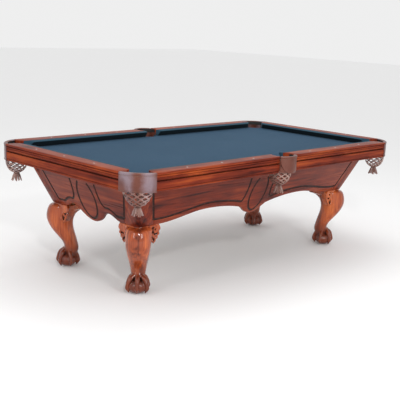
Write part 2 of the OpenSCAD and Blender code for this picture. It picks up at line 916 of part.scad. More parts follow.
side_blind();  // blind_back_right
mirror([1, 0, 0]) end_blind();  // blind_end_left
end_blind();  // blind_end_right
mirror([0, 1, 0]) mirror([1, 0, 0]) side_cushion();  // cushion_front_left
mirror([0, 1, 0]) side_cushion();  // cushion_front_right
mirror([1, 0, 0]) side_cushion();  // cushion_back_left
side_cushion();  // cushion_back_right
mirror([1, 0, 0]) end_cushion();  // cushion_end_left
end_cushion();  // cushion_end_right
rail_bolts();
sights();
pocket_irons();
corner_leather(CORNERS[0]);  // leather_front_left
corner_leather(CORNERS[1]);  // leather_front_right
corner_leather(CORNERS[2]);  // leather_back_right
corner_leather(CORNERS[3]);  // leather_back_left
mirror([0, 1, 0]) side_leather();  // leather_side_front
side_leather();  // leather_side_back
corner_net(CORNERS[0]);  // net_front_left
corner_net(CORNERS[1]);  // net_front_right
corner_net(CORNERS[2]);  // net_back_right
corner_net(CORNERS[3]);  // net_back_left
mirror([0, 1, 0]) side_net();  // net_side_front
side_net();  // net_side_back
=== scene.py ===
"""Eight-foot drop-pocket pool table with carved cabriole legs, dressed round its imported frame.

Metres throughout. The origin is on the floor under the middle of the bed, +X runs along the table,
+Y across it and +Z up.
"""
import logging
import math
from collections.abc import Callable, Iterable, Iterator, Sequence
from contextlib import contextmanager
from dataclasses import dataclass, replace
from enum import Enum

import bmesh
import bpy
from mathutils import Matrix, Vector


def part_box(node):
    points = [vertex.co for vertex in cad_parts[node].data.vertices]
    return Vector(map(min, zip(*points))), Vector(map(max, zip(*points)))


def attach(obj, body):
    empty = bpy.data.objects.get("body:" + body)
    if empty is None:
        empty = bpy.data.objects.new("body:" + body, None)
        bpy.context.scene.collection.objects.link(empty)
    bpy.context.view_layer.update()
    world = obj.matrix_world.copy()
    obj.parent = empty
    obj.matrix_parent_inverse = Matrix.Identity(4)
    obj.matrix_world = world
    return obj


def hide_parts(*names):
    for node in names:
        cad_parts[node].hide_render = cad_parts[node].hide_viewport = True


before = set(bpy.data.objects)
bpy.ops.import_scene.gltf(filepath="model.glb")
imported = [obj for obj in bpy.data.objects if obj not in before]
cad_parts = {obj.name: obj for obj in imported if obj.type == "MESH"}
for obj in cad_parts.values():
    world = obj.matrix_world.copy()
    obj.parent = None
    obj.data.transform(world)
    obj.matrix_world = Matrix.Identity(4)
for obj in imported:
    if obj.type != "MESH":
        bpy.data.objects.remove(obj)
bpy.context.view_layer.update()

Obj = bpy.types.Object
Point = tuple[float, float, float]
Pair = tuple[float, float]
Colour = tuple[float, float, float, float]
Test = Callable[[Vector], bool]

LOG = logging.getLogger("pool_table")
HAIR = 0.0003
WELD = 0.00005


# ---- The workbench: operators that shape a mesh ---------------------------------------------


class Kind(Enum):
    """What edit mode selects."""

    VERT = "VERT"
    EDGE = "EDGE"
    FACE = "FACE"


class Cut(Enum):
    """What a boolean does with its tool."""

    AWAY = "DIFFERENCE"
    KEEP = "INTERSECT"


def hold(*objects: Obj) -> Obj:
    """Select these objects alone and make the first one active.

    Args:
        objects: what to select.

    Returns:
        The active object.
    """
    if bpy.context.mode != "OBJECT":
        bpy.ops.object.mode_set(mode="OBJECT")
    bpy.ops.object.select_all(action="DESELECT")
    for obj in objects:
        obj.select_set(True)
    bpy.context.view_layer.objects.active = objects[0]
    return objects[0]


@contextmanager
def editing(obj: Obj, kind: Kind = Kind.VERT) -> Iterator[None]:
    """Edit mode on one object, with nothing selected at first.

    Args:
        obj: the object to edit.
        kind: what can be selected.
    """
    hold(obj)
    bpy.ops.object.mode_set(mode="EDIT")
    bpy.ops.mesh.select_mode(type=kind.value)
    bpy.ops.mesh.select_all(action="DESELECT")
    try:
        yield
    finally:
        bpy.ops.object.mode_set(mode="OBJECT")


def select_everything() -> None:
    """In edit mode, select the whole mesh."""
    bpy.ops.mesh.select_all(action="SELECT")


def pick(obj: Obj, kind: Kind, test: Test) -> None:
    """In edit mode, select the elements whose middle passes a test, and nothing else.

    Args:
        obj: the object in edit mode.
        kind: vertices, edges or faces.
        test: says whether a middle is wanted.
    """
    bpy.ops.mesh.select_mode(type=kind.value)
    bpy.ops.mesh.select_all(action="DESELECT")
    mesh = bmesh.from_edit_mesh(obj.data)
    parts = {Kind.VERT: mesh.verts, Kind.EDGE: mesh.edges, Kind.FACE: mesh.faces}[kind]
    for part in parts:
        corners = [part] if kind is Kind.VERT else part.verts
        if test(sum((v.co for v in corners), Vector()) / len(corners)):
            part.select_set(True)
    bmesh.update_edit_mesh(obj.data)


def settle(obj: Obj) -> Obj:
    """Put an object's place, turn and scale into its mesh."""
    hold(obj)
    bpy.ops.object.transform_apply(location=True, rotation=True, scale=True)
    return obj


def made(name: str) -> Obj:
    """Name the primitive that was just added and put its place into its mesh."""
    obj = bpy.context.object
    obj.name = obj.data.name = name
    return settle(obj)


def outward(obj: Obj) -> Obj:
    """Merge doubles and point every face outwards."""
    with editing(obj):
        select_everything()
        bpy.ops.mesh.remove_doubles(threshold=WELD)
        bpy.ops.mesh.normals_make_consistent(inside=False)
    return obj


def line(name: str, points: Sequence[Sequence[float]], closed: bool = False,
         filled: bool = False) -> Obj:
    """Draw a line by extruding one vertex from point to point.

    Args:
        name: the object's name.
        points: the points in order.
        closed: whether the last point joins the first.
        filled: whether the outline becomes a face.

    Returns:
        The new object.
    """
    bpy.ops.mesh.primitive_plane_add(size=0.01)
    obj = made(name)
    with editing(obj):
        select_everything()
        bpy.ops.mesh.merge(type="CENTER")
        bpy.ops.transform.translate(value=points[0])
        for here, there in zip(points, points[1:]):
            step = Vector(there) - Vector(here)
            bpy.ops.mesh.extrude_region_move(TRANSFORM_OT_translate={"value": step})
        if filled:
            select_everything()
            bpy.ops.mesh.edge_face_add()
        elif closed:
            mesh = bmesh.from_edit_mesh(obj.data)
            bpy.ops.mesh.select_all(action="DESELECT")
            for vert in mesh.verts:
                vert.select_set(len(vert.link_edges) == 1)
            bpy.ops.mesh.edge_face_add()
    return obj


def board(name: str, outline: Sequence[Sequence[float]], along: Sequence[float],
          steps: int = 1) -> Obj:
    """A solid: a filled outline extruded along a vector.

    Args:
        name: the object's name.
        outline: the corners of the face.
        along: the whole extrusion.
        steps: how many equal extrusions it is made in.

    Returns:
        The new object.
    """
    obj = line(name, outline, filled=True)
    with editing(obj, Kind.FACE):
        select_everything()
        for _ in range(steps):
            bpy.ops.mesh.extrude_region_move(
                TRANSFORM_OT_translate={"value": Vector(along) / steps}
            )
    return outward(obj)


def loft(name: str, rings: Sequence[tuple[Point, Pair]], sides: int = 24) -> Obj:
    """A solid grown from a circle by extruding and resizing its cap.

    Args:
        name: the object's name.
        rings: each ring's centre and its two half widths.
        sides: the vertices of a ring.

    Returns:
        The new object.
    """
    centre, size = rings[0]
    bpy.ops.mesh.primitive_circle_add(vertices=sides, radius=1.0, fill_type="NGON")
    obj = made(name)
    with editing(obj, Kind.FACE):
        select_everything()
        bpy.ops.transform.resize(value=(size[0], size[1], 1.0))
        bpy.ops.transform.translate(value=centre)
        for (last, old), (here, new) in zip(rings, rings[1:]):
            step = Vector(here) - Vector(last)
            bpy.ops.mesh.extrude_region_move(TRANSFORM_OT_translate={"value": step})
            ratio = (new[0] / old[0], new[1] / old[1], 1.0)
            bpy.ops.transform.resize(value=ratio, center_override=here)
    return outward(obj)


def rod(
    name: str,
    points: Sequence[Sequence[float]],
    radii: float | Sequence[float],
    rounding: int = 2,
    closed: bool = False,
) -> Obj:
    """A round rod along a line, with a radius at each point.

    Args:
        name: the object's name.
        points: the centreline.
        radii: one radius, or one for each point.
        rounding: the curve's bevel resolution.
        closed: whether the rod is a ring.

    Returns:
        The new object, a closed mesh.
    """
    sizes = [radii] * len(points) if isinstance(radii, float) else list(radii)
    hold(line(name, points, closed=closed))
    bpy.ops.object.convert(target="CURVE")
    curve = bpy.context.object
    curve.data.dimensions = "3D"
    curve.data.bevel_depth = max(sizes)
    curve.data.bevel_resolution = rounding
    curve.data.use_fill_caps = not closed
    spline = curve.data.splines[0]
    near = min(range(len(spline.points)),
               key=lambda i: (spline.points[i].co.xyz - Vector(points[0])).length)
    order = sizes if near == 0 else sizes[::-1]
    if not closed:
        for knot, size in zip(spline.points, order):
            knot.radius = size / max(sizes)
    bpy.ops.object.convert(target="MESH")
    return outward(bpy.context.object)


def join(name: str, parts: Iterable[Obj]) -> Obj:
    """Join parts into one object.

    Args:
        name: the joined object's name.
        parts: what to join.

    Returns:
        The joined object.
    """
    obj = hold(*parts)
    if len(bpy.context.selected_objects) > 1:
        bpy.ops.object.join()
    obj.name = obj.data.name = name
    return obj


def copy(obj: Obj, name: str, matrix: Matrix) -> Obj:
    """A copy with its own mesh, moved by a matrix and facing outwards.

    Args:
        obj: what to copy.
        name: the copy's name.
        matrix: where the copy goes; a mirror is allowed.

    Returns:
        The copy, settled at the origin.
    """
    hold(obj)
    bpy.ops.object.duplicate(linked=False)
    twin = bpy.context.object
    twin.name = twin.data.name = name
    twin.data.transform(matrix)
    if matrix.determinant() < 0:
        with editing(twin, Kind.FACE):
            select_everything()
            bpy.ops.mesh.flip_normals()
    return twin


def modify(obj: Obj, kind: str, **settings: object) -> Obj:
    """Add a modifier, set it and apply it.

    Args:
        obj: the object.
        kind: the modifier's type.
        settings: its properties.

    Returns:
        The same object.
    """
    hold(obj)
    modifier = obj.modifiers.new(kind.lower(), kind)
    for key, value in settings.items():
        setattr(modifier, key, value)
    bpy.ops.object.modifier_apply(modifier=modifier.name)
    return obj


def carve(obj: Obj, tool: Obj, cut: Cut = Cut.AWAY) -> Obj:
    """Cut an object with a tool, which is then thrown away. Cut faces keep the tool's material.

    Args:
        obj: the object to cut.
        tool: the closed tool.
        cut: what the tool does.

    Returns:
        The same object.
    """
    modify(obj, "BOOLEAN", operation=cut.value, object=tool, solver="EXACT",
           material_mode="TRANSFER")
    mesh = tool.data
    bpy.data.objects.remove(tool)
    bpy.data.meshes.remove(mesh)
    return obj


def discard(*objects: Obj) -> None:
    """Throw away objects that were only copied from."""
    for obj in objects:
        bpy.data.objects.remove(obj)


def ease_edges(obj: Obj, width: float, degrees: float) -> Obj:
    """Round every edge that is sharper than an angle by a small width."""
    angle = math.radians(degrees)
    return modify(obj, "BEVEL", width=width, segments=2, limit_method="ANGLE", angle_limit=angle)


def smooth(obj: Obj, degrees: float = 35.0) -> Obj:
    """Shade an object smooth, with sharp edges past an angle."""
    hold(obj)
    bpy.ops.object.shade_smooth_by_angle(angle=math.radians(degrees))
    return obj


def mirrored(sx: int, sy: int) -> Matrix:
    """The matrix that mirrors the +X +Y quarter into another one."""
    return Matrix.Diagonal((sx, sy, 1, 1))


# ---- Node graphs ----------------------------------------------------------------------------


class Wire:
    """A node's output, whose arithmetic adds Math nodes."""

    def __init__(self, graph: "Graph", socket: bpy.types.NodeSocket) -> None:
        """Wrap one output socket of a graph."""
        self.graph = graph
        self.socket = socket

    def math(self, operation: str, *values: "Wire | float") -> "Wire":
        """A Math node on these values.

        Args:
            operation: the node's operation.
            values: its inputs in order.

        Returns:
            Its output.
        """
        return self.graph.add("ShaderNodeMath", {"operation": operation}, dict(enumerate(values)))

    def __add__(self, other: "Wire | float") -> "Wire":
        """Sum."""
        return self.math("ADD", self, other)

    def __radd__(self, other: float) -> "Wire":
        """Sum, from the right."""
        return self.math("ADD", other, self)

    def __sub__(self, other: "Wire | float") -> "Wire":
        """Difference."""
        return self.math("SUBTRACT", self, other)

    def __rsub__(self, other: float) -> "Wire":
        """Difference, from the right."""
        return self.math("SUBTRACT", other, self)

    def __mul__(self, other: "Wire | float") -> "Wire":
        """Product."""
        return self.math("MULTIPLY", self, other)

    def __rmul__(self, other: float) -> "Wire":
        """Product, from the right."""
        return self.math("MULTIPLY", other, self)

    def between(self, low: float, high: float) -> "Wire":
        """0 below low, 1 above high and a smooth step between them."""
        return self.graph.add(
            "ShaderNodeMapRange",
            {"interpolation_type": "SMOOTHSTEP"},
            {"Value": self, "From Min": low, "From Max": high},
        )


class Graph:
    """A material under construction."""

    def __init__(self, name: str) -> None:
        """Start an empty material of this name."""
        self.material = bpy.data.materials.new(name)
        self.material.use_nodes = True
        self.tree = self.material.node_tree
        self.tree.nodes.clear()

    def add(
        self, kind: str, settings: dict[str, object], inputs: dict[str | int, object],
        output: str | int = 0
    ) -> Wire:
        """Add one node.

        Args:
            kind: the node's type.
            settings: its properties, and the stops of a ramp as "stops".
            inputs: values or wires by socket name or number.
            output: which output to return.

        Returns:
            That output.
        """
        node = self.tree.nodes.new(kind)
        for key, value in settings.items():
            if key == "stops":
                ramp = node.color_ramp
                while len(ramp.elements) < len(value):
                    ramp.elements.new(0.5)
                for element, (place, colour) in zip(ramp.elements, value):
                    element.position, element.color = place, colour
            else:
                setattr(node, key, value)
        for key, value in inputs.items():
            if isinstance(value, Wire):
                self.tree.links.new(value.socket, node.inputs[key])
            else:
                node.inputs[key].default_value = value
        return Wire(self, node.outputs[output])

    def place(self, turn: Point = (0.0, 0.0, 0.0), scale: Point = (1.0, 1.0, 1.0)) -> Wire:
        """Object coordinates, turned and scaled."""
        here = self.add("ShaderNodeTexCoord", {}, {}, "Object")
        if any(turn):
            here = self.add("ShaderNodeMapping", {}, {"Vector": here, "Rotation": turn})
        return self.add("ShaderNodeMapping", {}, {"Vector": here, "Scale": scale})

    def noise(self, at: Wire, scale: float, detail: float = 3.0, rough: float = 0.5,
              swirl: float = 0.0) -> Wire:
        """Noise of a given scale at a place.

        Args:
            at: the place.
            scale: how many times it repeats in a metre, roughly.
            detail: how many finer layers are added.
            rough: how strong the finer layers are.
            swirl: how far the pattern is pulled about.

        Returns:
            The noise, from 0 to 1.
        """
        return self.add(
            "ShaderNodeTexNoise",
            {"noise_dimensions": "3D"},
            {"Vector": at, "Scale": scale, "Detail": detail, "Roughness": rough,
             "Distortion": swirl},
        )

    def mix(self, share: Wire | float, first: Wire | Colour, second: Wire | Colour,
            blend: str = "MIX") -> Wire:
        """Mix two colours."""
        node = {"data_type": "RGBA", "blend_type": blend}
        return self.add("ShaderNodeMix", node, {0: share, 6: first, 7: second}, 2)

    def ramp(self, value: Wire, stops: Sequence[tuple[float, Colour]]) -> Wire:
        """A colour from a value."""
        return self.add("ShaderNodeValToRGB", {"stops": stops}, {"Fac": value})

    def hollow(self, distance: float, reach: float = 1.0) -> Wire:
        """Painted shade from ambient occlusion: 1 deep in a hollow of the piece itself, 0 on its
        open faces.
        """
        open_sky = self.add(
            "ShaderNodeAmbientOcclusion", {"samples": 6, "only_local": True},
            {"Distance": distance}, "AO"
        )
        return (1.0 - open_sky).between(0.12, 0.12 + 0.6 * reach)

    def bump(self, height: Wire, depth: float, strength: float = 1.0) -> Wire:
        """A normal from a height."""
        return self.add("ShaderNodeBump", {},
                        {"Height": height, "Distance": depth, "Strength": strength})

    def shade(self, **inputs: object) -> bpy.types.Material:
        """Close the graph with a Principled shader.

        Args:
            inputs: its sockets, named in snake_case.

        Returns:
            The material.
        """
        sockets = {key.replace("_", " ").title().replace("Ior", "IOR"): value
                   for key, value in inputs.items()}
        shader = self.add("ShaderNodeBsdfPrincipled", {}, sockets)
        self.add_output(shader)
        return self.material

    def add_output(self, shader: Wire) -> None:
        """Link a shader to the material's surface."""
        node = self.tree.nodes.new("ShaderNodeOutputMaterial")
        self.tree.links.new(shader.socket, node.inputs["Surface"])


# ---- Finishes -------------------------------------------------------------------------------


class Grain(Enum):
    """The way a board's grain runs, as the turn that brings it to X."""

    ALONG = (0.0, 0.0, 0.0)
    ACROSS = (0.0, 0.0, math.pi / 2)
    UPRIGHT = (0.0, math.pi / 2, 0.0)


def rgb(red: float, green: float, blue: float) -> Colour:
    """An opaque linear colour."""
    return (red, green, blue, 1.0)


@dataclass(frozen=True)
class Finish:
    """A named finish; each class below says how its material is made."""

    name: str

    def material(self) -> bpy.types.Material:
        """The finish's material, made once."""
        found = bpy.data.materials.get(self.name)
        return found or self.mixed()

    def mixed(self) -> bpy.types.Material:
        """Make the material."""
        raise NotImplementedError


@dataclass(frozen=True)
class Cherry(Finish):
    """Glossy stained cherry, with an antique glaze in its hollows, which painted shade from ambient
    occlusion also darkens.
    """

    grain: Grain = Grain.ALONG
    pale: Colour = rgb(0.350, 0.064, 0.016)
    body: Colour = rgb(0.165, 0.020, 0.007)
    deep: Colour = rgb(0.034, 0.005, 0.004)
    glaze: Colour = rgb(0.012, 0.004, 0.003)
    shade_reach: float = 0.016
    gloss: float = 0.24
    polish: float = 0.14
    specular: float = 0.12
    floor_shade: float = 0.0

    def mixed(self) -> bpy.types.Material:
        """Make the material.

        Returns:
            The new material.
        """
        g = Graph(self.name)
        turn = self.grain.value
        wide = g.place(turn, (0.5, 5.0, 5.0))
        fine = g.place(turn, (1.0, 34.0, 34.0))
        pores = g.place(turn, (9.0, 300.0, 300.0))
        cloud = g.noise(g.place(turn, (1.4, 3.2, 3.2)), 2.6, 3.0)
        figure = g.noise(wide, 3.2, 5.0, 0.62, 0.9)
        streak = g.noise(fine, 2.4, 4.0, 0.6, 0.3)
        pore = g.noise(pores, 1.6, 2.0, 0.5)
        tone = figure * 0.62 + streak * 0.30 + cloud * 0.32 - 0.12
        wood = g.ramp(tone, [(0.33, self.deep), (0.49, self.body), (0.70, self.pale)])
        dark_pore = pore.between(0.60, 0.78) * 0.35
        wood = g.mix(dark_pore, wood, self.deep)
        # Painted shade: the wood grows darker towards the floor, over the foot and ankle.
        if self.floor_shade:
            height = g.add("ShaderNodeSeparateXYZ", {}, {"Vector": g.place()}, "Z")
            wood = g.mix((1.0 - height.between(0.07, 0.22)) * self.floor_shade, wood, self.deep)
        # Painted shade and glaze: ambient occlusion darkens the hollows toward the glaze colour.
        shade_and_glaze_mask = g.hollow(self.shade_reach)
        shade_patchiness = g.noise(g.place(turn, (2.0, 6.0, 6.0)), 6.0, 4.0)
        shade_veil = shade_and_glaze_mask * (0.75 + shade_patchiness * 0.4)
        wood = g.mix(shade_veil.math("MINIMUM", shade_veil, 0.94), wood, self.glaze)
        rough = self.gloss + streak * 0.10 + shade_and_glaze_mask * 0.25
        normal = g.bump(streak * 0.5 - dark_pore * 1.2, 0.0006, 0.5)
        return g.shade(
            base_color=wood, roughness=rough, normal=normal, coat_weight=self.polish,
            coat_roughness=0.06,
            specular_ior_level=self.specular,
        )


@dataclass(frozen=True)
class Glaze(Finish):
    """Dark antique glaze that fills a carved groove."""

    colour: Colour = rgb(0.022, 0.007, 0.005)

    def mixed(self) -> bpy.types.Material:
        """Make the material.

        Returns:
            The new material.
        """
        g = Graph(self.name)
        cloud = g.noise(g.place(), 60.0, 4.0)
        tint = g.mix(cloud.between(0.45, 0.75), self.colour, rgb(0.075, 0.017, 0.010))
        return g.shade(base_color=tint, roughness=0.42 + cloud * 0.1, coat_weight=0.15,
                       specular_ior_level=0.2)


@dataclass(frozen=True)
class Worsted(Finish):
    """Worsted wool billiard cloth: a fine weave with a short nap."""

    colour: Colour = rgb(0.024, 0.062, 0.110)
    lint: Colour = rgb(0.045, 0.098, 0.158)
    pitch: float = 0.0011
    shade_under: float = 0.0

    def mixed(self) -> bpy.types.Material:
        """Make the material.

        Returns:
            The new material.
        """
        g = Graph(self.name)
        at = g.place()
        turns = 2 * math.pi / self.pitch
        warp, weft = (
            g.add(
                "ShaderNodeTexWave", {"bands_direction": way, "wave_profile": "SIN"},
                {"Vector": at, "Scale": turns / 20.0, "Distortion": 1.2, "Detail": 1.0}, "Fac",
            )
            for way in "XY"
        )
        nap = g.noise(at, 900.0, 3.0, 0.7)
        cloud = g.noise(at, 3.2, 4.0)
        thread = warp * weft
        tint = g.mix(nap.between(0.42, 0.72) * 0.6, self.colour, self.lint)
        tint = g.mix((1.0 - thread) * 0.22, tint, rgb(0.020, 0.045, 0.075))
        tint = g.mix(cloud.between(0.3, 0.7) * 0.16, tint, self.lint)
        facing = g.add("ShaderNodeNewGeometry", {}, {}, "Normal")
        height = g.add("ShaderNodeSeparateXYZ", {}, {"Vector": facing}, "Z")
        tint = g.mix((0.0 - height).between(0.05, 0.5) * self.shade_under, tint,
                     rgb(0.004, 0.008, 0.011))
        normal = g.bump(thread * 0.6 + nap * 0.6, 0.00035, 0.7)
        return g.shade(
            base_color=tint, roughness=0.93, normal=normal, specular_ior_level=0.10,
            sheen_weight=0.06, sheen_roughness=0.4, sheen_tint=rgb(0.5, 0.62, 0.72),
        )


@dataclass(frozen=True)
class Hide(Finish):
    """Smooth brown leather with a waxed sheen, pebbled and creased, with lilac-grey painted sheen
    patches on both sides of a corner pocket and painted shade in its hollows.
    """

    body: Colour = rgb(0.100, 0.024, 0.014)
    wear_and_highlight: Colour = rgb(0.180, 0.056, 0.034)
    dark: Colour = rgb(0.030, 0.010, 0.008)
    pebble: float = 260.0
    wax: float = 0.18
    painted_sheen: float = 0.62
    corner: float = 0.5588  # how far |x| exceeds |y| in the middle of a corner pocket

    def mixed(self) -> bpy.types.Material:
        """Make the material.

        Returns:
            The new material.
        """
        g = Graph(self.name)
        at = g.place()
        cell = g.add("ShaderNodeTexVoronoi", {"feature": "DISTANCE_TO_EDGE"},
                     {"Vector": at, "Scale": self.pebble})
        crease = g.noise(at, 38.0, 5.0, 0.6, 0.6)
        cloud = g.noise(at, 9.0, 4.0)
        sheen_noise = g.noise(g.place(scale=(1.0, 1.0, 0.35)), 12.0, 2.0, 0.4, 0.4)
        sides = [g.add("ShaderNodeSeparateXYZ", {}, {"Vector": at}, axis) for axis in "XY"]
        x, y = (side.math("ABSOLUTE", side) for side in sides)
        lean = x - y - self.corner
        lean = lean.math("ABSOLUTE", lean)
        # Painted sheen: streaked lilac-grey patches on both sides of the middle of a corner
        # pocket's leather.
        shoulder = (lean + crease * 0.05).between(0.036, 0.105) * (1.0 - lean.between(0.150, 0.200))
        # Random paler patches: wear on the pocket hide, painted highlight on the lace's strands.
        hide = g.mix(cloud.between(0.35, 0.68) * 0.55, self.body, self.wear_and_highlight)
        hide = g.mix((sheen_noise.between(0.34, 0.58) * shoulder) * self.painted_sheen, hide,
                     rgb(0.290, 0.240, 0.285))
        hide = g.mix((1.0 - cell.between(0.0, 0.10)) * 0.35, hide, self.dark)
        # Painted shade: the leather darkens in its own hollows, from ambient occlusion.
        hide = g.mix(g.hollow(0.010), hide, self.dark)
        normal = g.bump(cell.between(0.0, 0.16) * 0.6 + crease, 0.0007, 0.45)
        return g.shade(
            base_color=hide, roughness=0.34 + crease * 0.16, normal=normal, coat_weight=self.wax,
            coat_roughness=0.30, specular_ior_level=0.25,
        )


@dataclass(frozen=True)
class Thread(Finish):
    """Waxed linen thread."""

    colour: Colour = rgb(0.30, 0.17, 0.10)

    def mixed(self) -> bpy.types.Material:
        """Make the material.

        Returns:
            The new material.
        """
        g = Graph(self.name)
        twist = g.noise(g.place(), 1400.0, 2.0)
        tint = g.mix(twist.between(0.4, 0.7), self.colour, rgb(0.12, 0.06, 0.035))
        return g.shade(base_color=tint, roughness=0.6)


@dataclass(frozen=True)
class Pearl(Finish):
    """Mother-of-pearl inlay."""

    def mixed(self) -> bpy.types.Material:
        """Make the material.

        Returns:
            The new material.
        """
        g = Graph(self.name)
        swirl = g.noise(g.place(), 240.0, 3.0, 0.5, 2.0)
        stops = [(0.3, rgb(0.62, 0.56, 0.46)), (0.5, rgb(0.86, 0.84, 0.78)),
                 (0.7, rgb(0.66, 0.74, 0.76))]
        return g.shade(base_color=g.ramp(swirl, stops), roughness=0.16, coat_weight=0.7,
                       coat_roughness=0.05)


@dataclass(frozen=True)
class Stone(Finish):
    """Honed dark slate."""

    def mixed(self) -> bpy.types.Material:
        """Make the material.

        Returns:
            The new material.
        """
        g = Graph(self.name)
        at = g.place()
        bed = g.noise(g.place(scale=(1.0, 1.0, 12.0)), 5.0, 6.0, 0.6)
        grit = g.noise(at, 420.0, 2.0)
        stops = [(0.3, rgb(0.030, 0.034, 0.040)), (0.7, rgb(0.075, 0.080, 0.088))]
        tint = g.mix(grit.between(0.5, 0.8) * 0.3, g.ramp(bed, stops), rgb(0.13, 0.135, 0.14))
        return g.shade(base_color=tint, roughness=0.62 + grit * 0.2,
                       normal=g.bump(bed + grit * 0.4, 0.0008, 0.4))


@dataclass(frozen=True)
class Metal(Finish):
    """Plain metal with a cast or brushed face."""

    tint: Colour = rgb(0.5, 0.51, 0.53)
    shade_of: Colour = rgb(0.34, 0.35, 0.37)
    roughness: float = 0.35
    metallic: float = 1.0
    grit: float = 300.0

    def mixed(self) -> bpy.types.Material:
        """Make the material.

        Returns:
            The new material.
        """
        g = Graph(self.name)
        speck = g.noise(g.place(), self.grit, 4.0, 0.6)
        tint = g.mix(speck.between(0.35, 0.7), self.tint, self.shade_of)
        rough = self.roughness + speck * 0.15
        return g.shade(
            base_color=tint, roughness=rough, metallic=self.metallic,
            normal=g.bump(speck, 0.0003, 0.5)
        )


@dataclass(frozen=True)
class Timber(Finish):
    """Plain sawn frame timber."""

    grain: Grain = Grain.ALONG

    def mixed(self) -> bpy.types.Material:
        """Make the material.

        Returns:
            The new material.
        """
        g = Graph(self.name)
        rings = g.noise(g.place(self.grain.value, (0.8, 22.0, 22.0)), 2.0, 4.0, 0.6, 0.6)
        stops = [(0.3, rgb(0.30, 0.16, 0.075)), (0.52, rgb(0.52, 0.33, 0.17)),
                 (0.72, rgb(0.62, 0.43, 0.25))]
        saw = g.noise(g.place(self.grain.value, (90.0, 6.0, 6.0)), 4.0, 2.0)
        return g.shade(
            base_color=g.ramp(rings, stops), roughness=0.68 + saw * 0.12,
            normal=g.bump(rings + saw * 0.5, 0.0006, 0.5)
        )


WOOD_ALONG = Cherry("cherry_along", Grain.ALONG)
WOOD_ACROSS = Cherry("cherry_across", Grain.ACROSS)
WOOD_UPRIGHT = Cherry("cherry_upright", Grain.UPRIGHT)
# The legs' wood, with painted shade reaching deep into their hollows and darkening the feet towards
# the floor.
CARVED = Cherry(
    "cherry_carved", Grain.UPRIGHT, pale=rgb(0.66, 0.160, 0.036), body=rgb(0.36, 0.066, 0.017),
    deep=rgb(0.100, 0.017, 0.007), shade_reach=0.030, gloss=0.16, polish=0.70, floor_shade=0.80,
)
RAIL_ALONG = Cherry(
    "cherry_rail_along", Grain.ALONG, pale=rgb(0.42, 0.082, 0.018), body=rgb(0.18, 0.024, 0.009),
    gloss=0.34,
    polish=0.05, specular=0.06,
)
RAIL_ACROSS = replace(RAIL_ALONG, name="cherry_rail_across", grain=Grain.ACROSS)
GLAZE = Glaze("antique_glaze")
CLOTH = Worsted("worsted_bed")
CUSHION_CLOTH = Worsted("worsted_cushion", rgb(0.022, 0.062, 0.092), rgb(0.042, 0.100, 0.138),
                        shade_under=0.92)
LEATHER = Hide("pocket_hide")
# The lace's pale second colour is painted highlight on its strands, and the lace carries painted
# sheen patches as well.
LACE = Hide("lace_hide", body=rgb(0.15, 0.052, 0.036), wear_and_highlight=rgb(0.62, 0.40, 0.33), pebble=420.0,
            wax=0.7, painted_sheen=0.35)
STITCH = Thread("waxed_thread")
PEARL = Pearl("pearl_inlay")
SLATE = Stone("honed_slate")
IRON = Metal("black_iron", rgb(0.018, 0.018, 0.019), rgb(0.034, 0.033, 0.032), 0.5, 0.4)
STEEL = Metal("zinc_steel")
TIMBER_ALONG = Timber("frame_timber_along", Grain.ALONG)
TIMBER_ACROSS = Timber("frame_timber_across", Grain.ACROSS)
TIMBER_UPRIGHT = Timber("frame_timber_upright", Grain.UPRIGHT)


# ---- The table's plan -----------------------------------------------------------------------


@dataclass(frozen=True)
class Plan:
    """Places that several pieces share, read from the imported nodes."""

    field_x: float
    field_y: float
    rail_x: float
    rail_y: float
    rail_top: float
    bed_z: float
    cap_bottom: float
    blind_bottom: float
    cabinet_top: float
    leg_top: float
    cab_x: float
    cab_y: float
    lean: float = math.tan(math.radians(22.3))
    post_width: float = 0.118
    board: float = 0.0216
    cushion: float = 0.042
    corner_cut: float = 0.146
    side_cut: float = 0.078
    hole: float = 0.058

    @classmethod
    def from_frame(cls) -> "Plan":
        """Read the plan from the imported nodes.

        Returns:
            The plan.
        """
        end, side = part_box("cushion_end_right"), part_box("cushion_back_right")
        rail_end, rail_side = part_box("rail_end_right"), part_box("rail_back_right")
        post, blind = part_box("post_back_right"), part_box("blind_back_right")
        return cls(
            field_x=end[0].x, field_y=side[0].y, rail_x=rail_end[1].x, rail_y=rail_side[1].y,
            rail_top=rail_side[1].z, bed_z=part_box("bed_cloth")[1].z, cap_bottom=blind[1].z + HAIR,
            blind_bottom=blind[0].z, cabinet_top=post[1].z, leg_top=post[0].z, cab_x=post[1].x,
            cab_y=post[1].y,
        )

    def face_x(self, z: float) -> float:
        """Half length of the leaning cabinet's outer face at a height."""
        return self.cab_x - (self.cabinet_top - z) * self.lean

    def face_y(self, z: float) -> float:
        """Half width of the leaning cabinet's outer face at a height."""
        return self.cab_y - (self.cabinet_top - z) * self.lean

    @property
    def corner_end(self) -> Pair:
        """Where the side and end rails are cut back at a corner."""
        return self.rail_x - self.corner_cut, self.rail_y - self.corner_cut

    @property
    def corner_net(self) -> Pair:
        """Middle of a corner pocket's net."""
        out = 0.040 / math.sqrt(2)
        return self.field_x + out, self.field_y + out

    @property
    def corner_hole(self) -> Pair:
        """Middle of a corner pocket's hole."""
        out = 0.036 / math.sqrt(2)
        return self.field_x + out, self.field_y + out

    @property
    def side_hole(self) -> Pair:
        """Middle of a side pocket's hole."""
        return 0.0, self.field_y + self.hole + 0.005


QUARTERS = {"back_right": (1, 1), "back_left": (-1, 1), "front_right": (1, -1),
            "front_left": (-1, -1)}


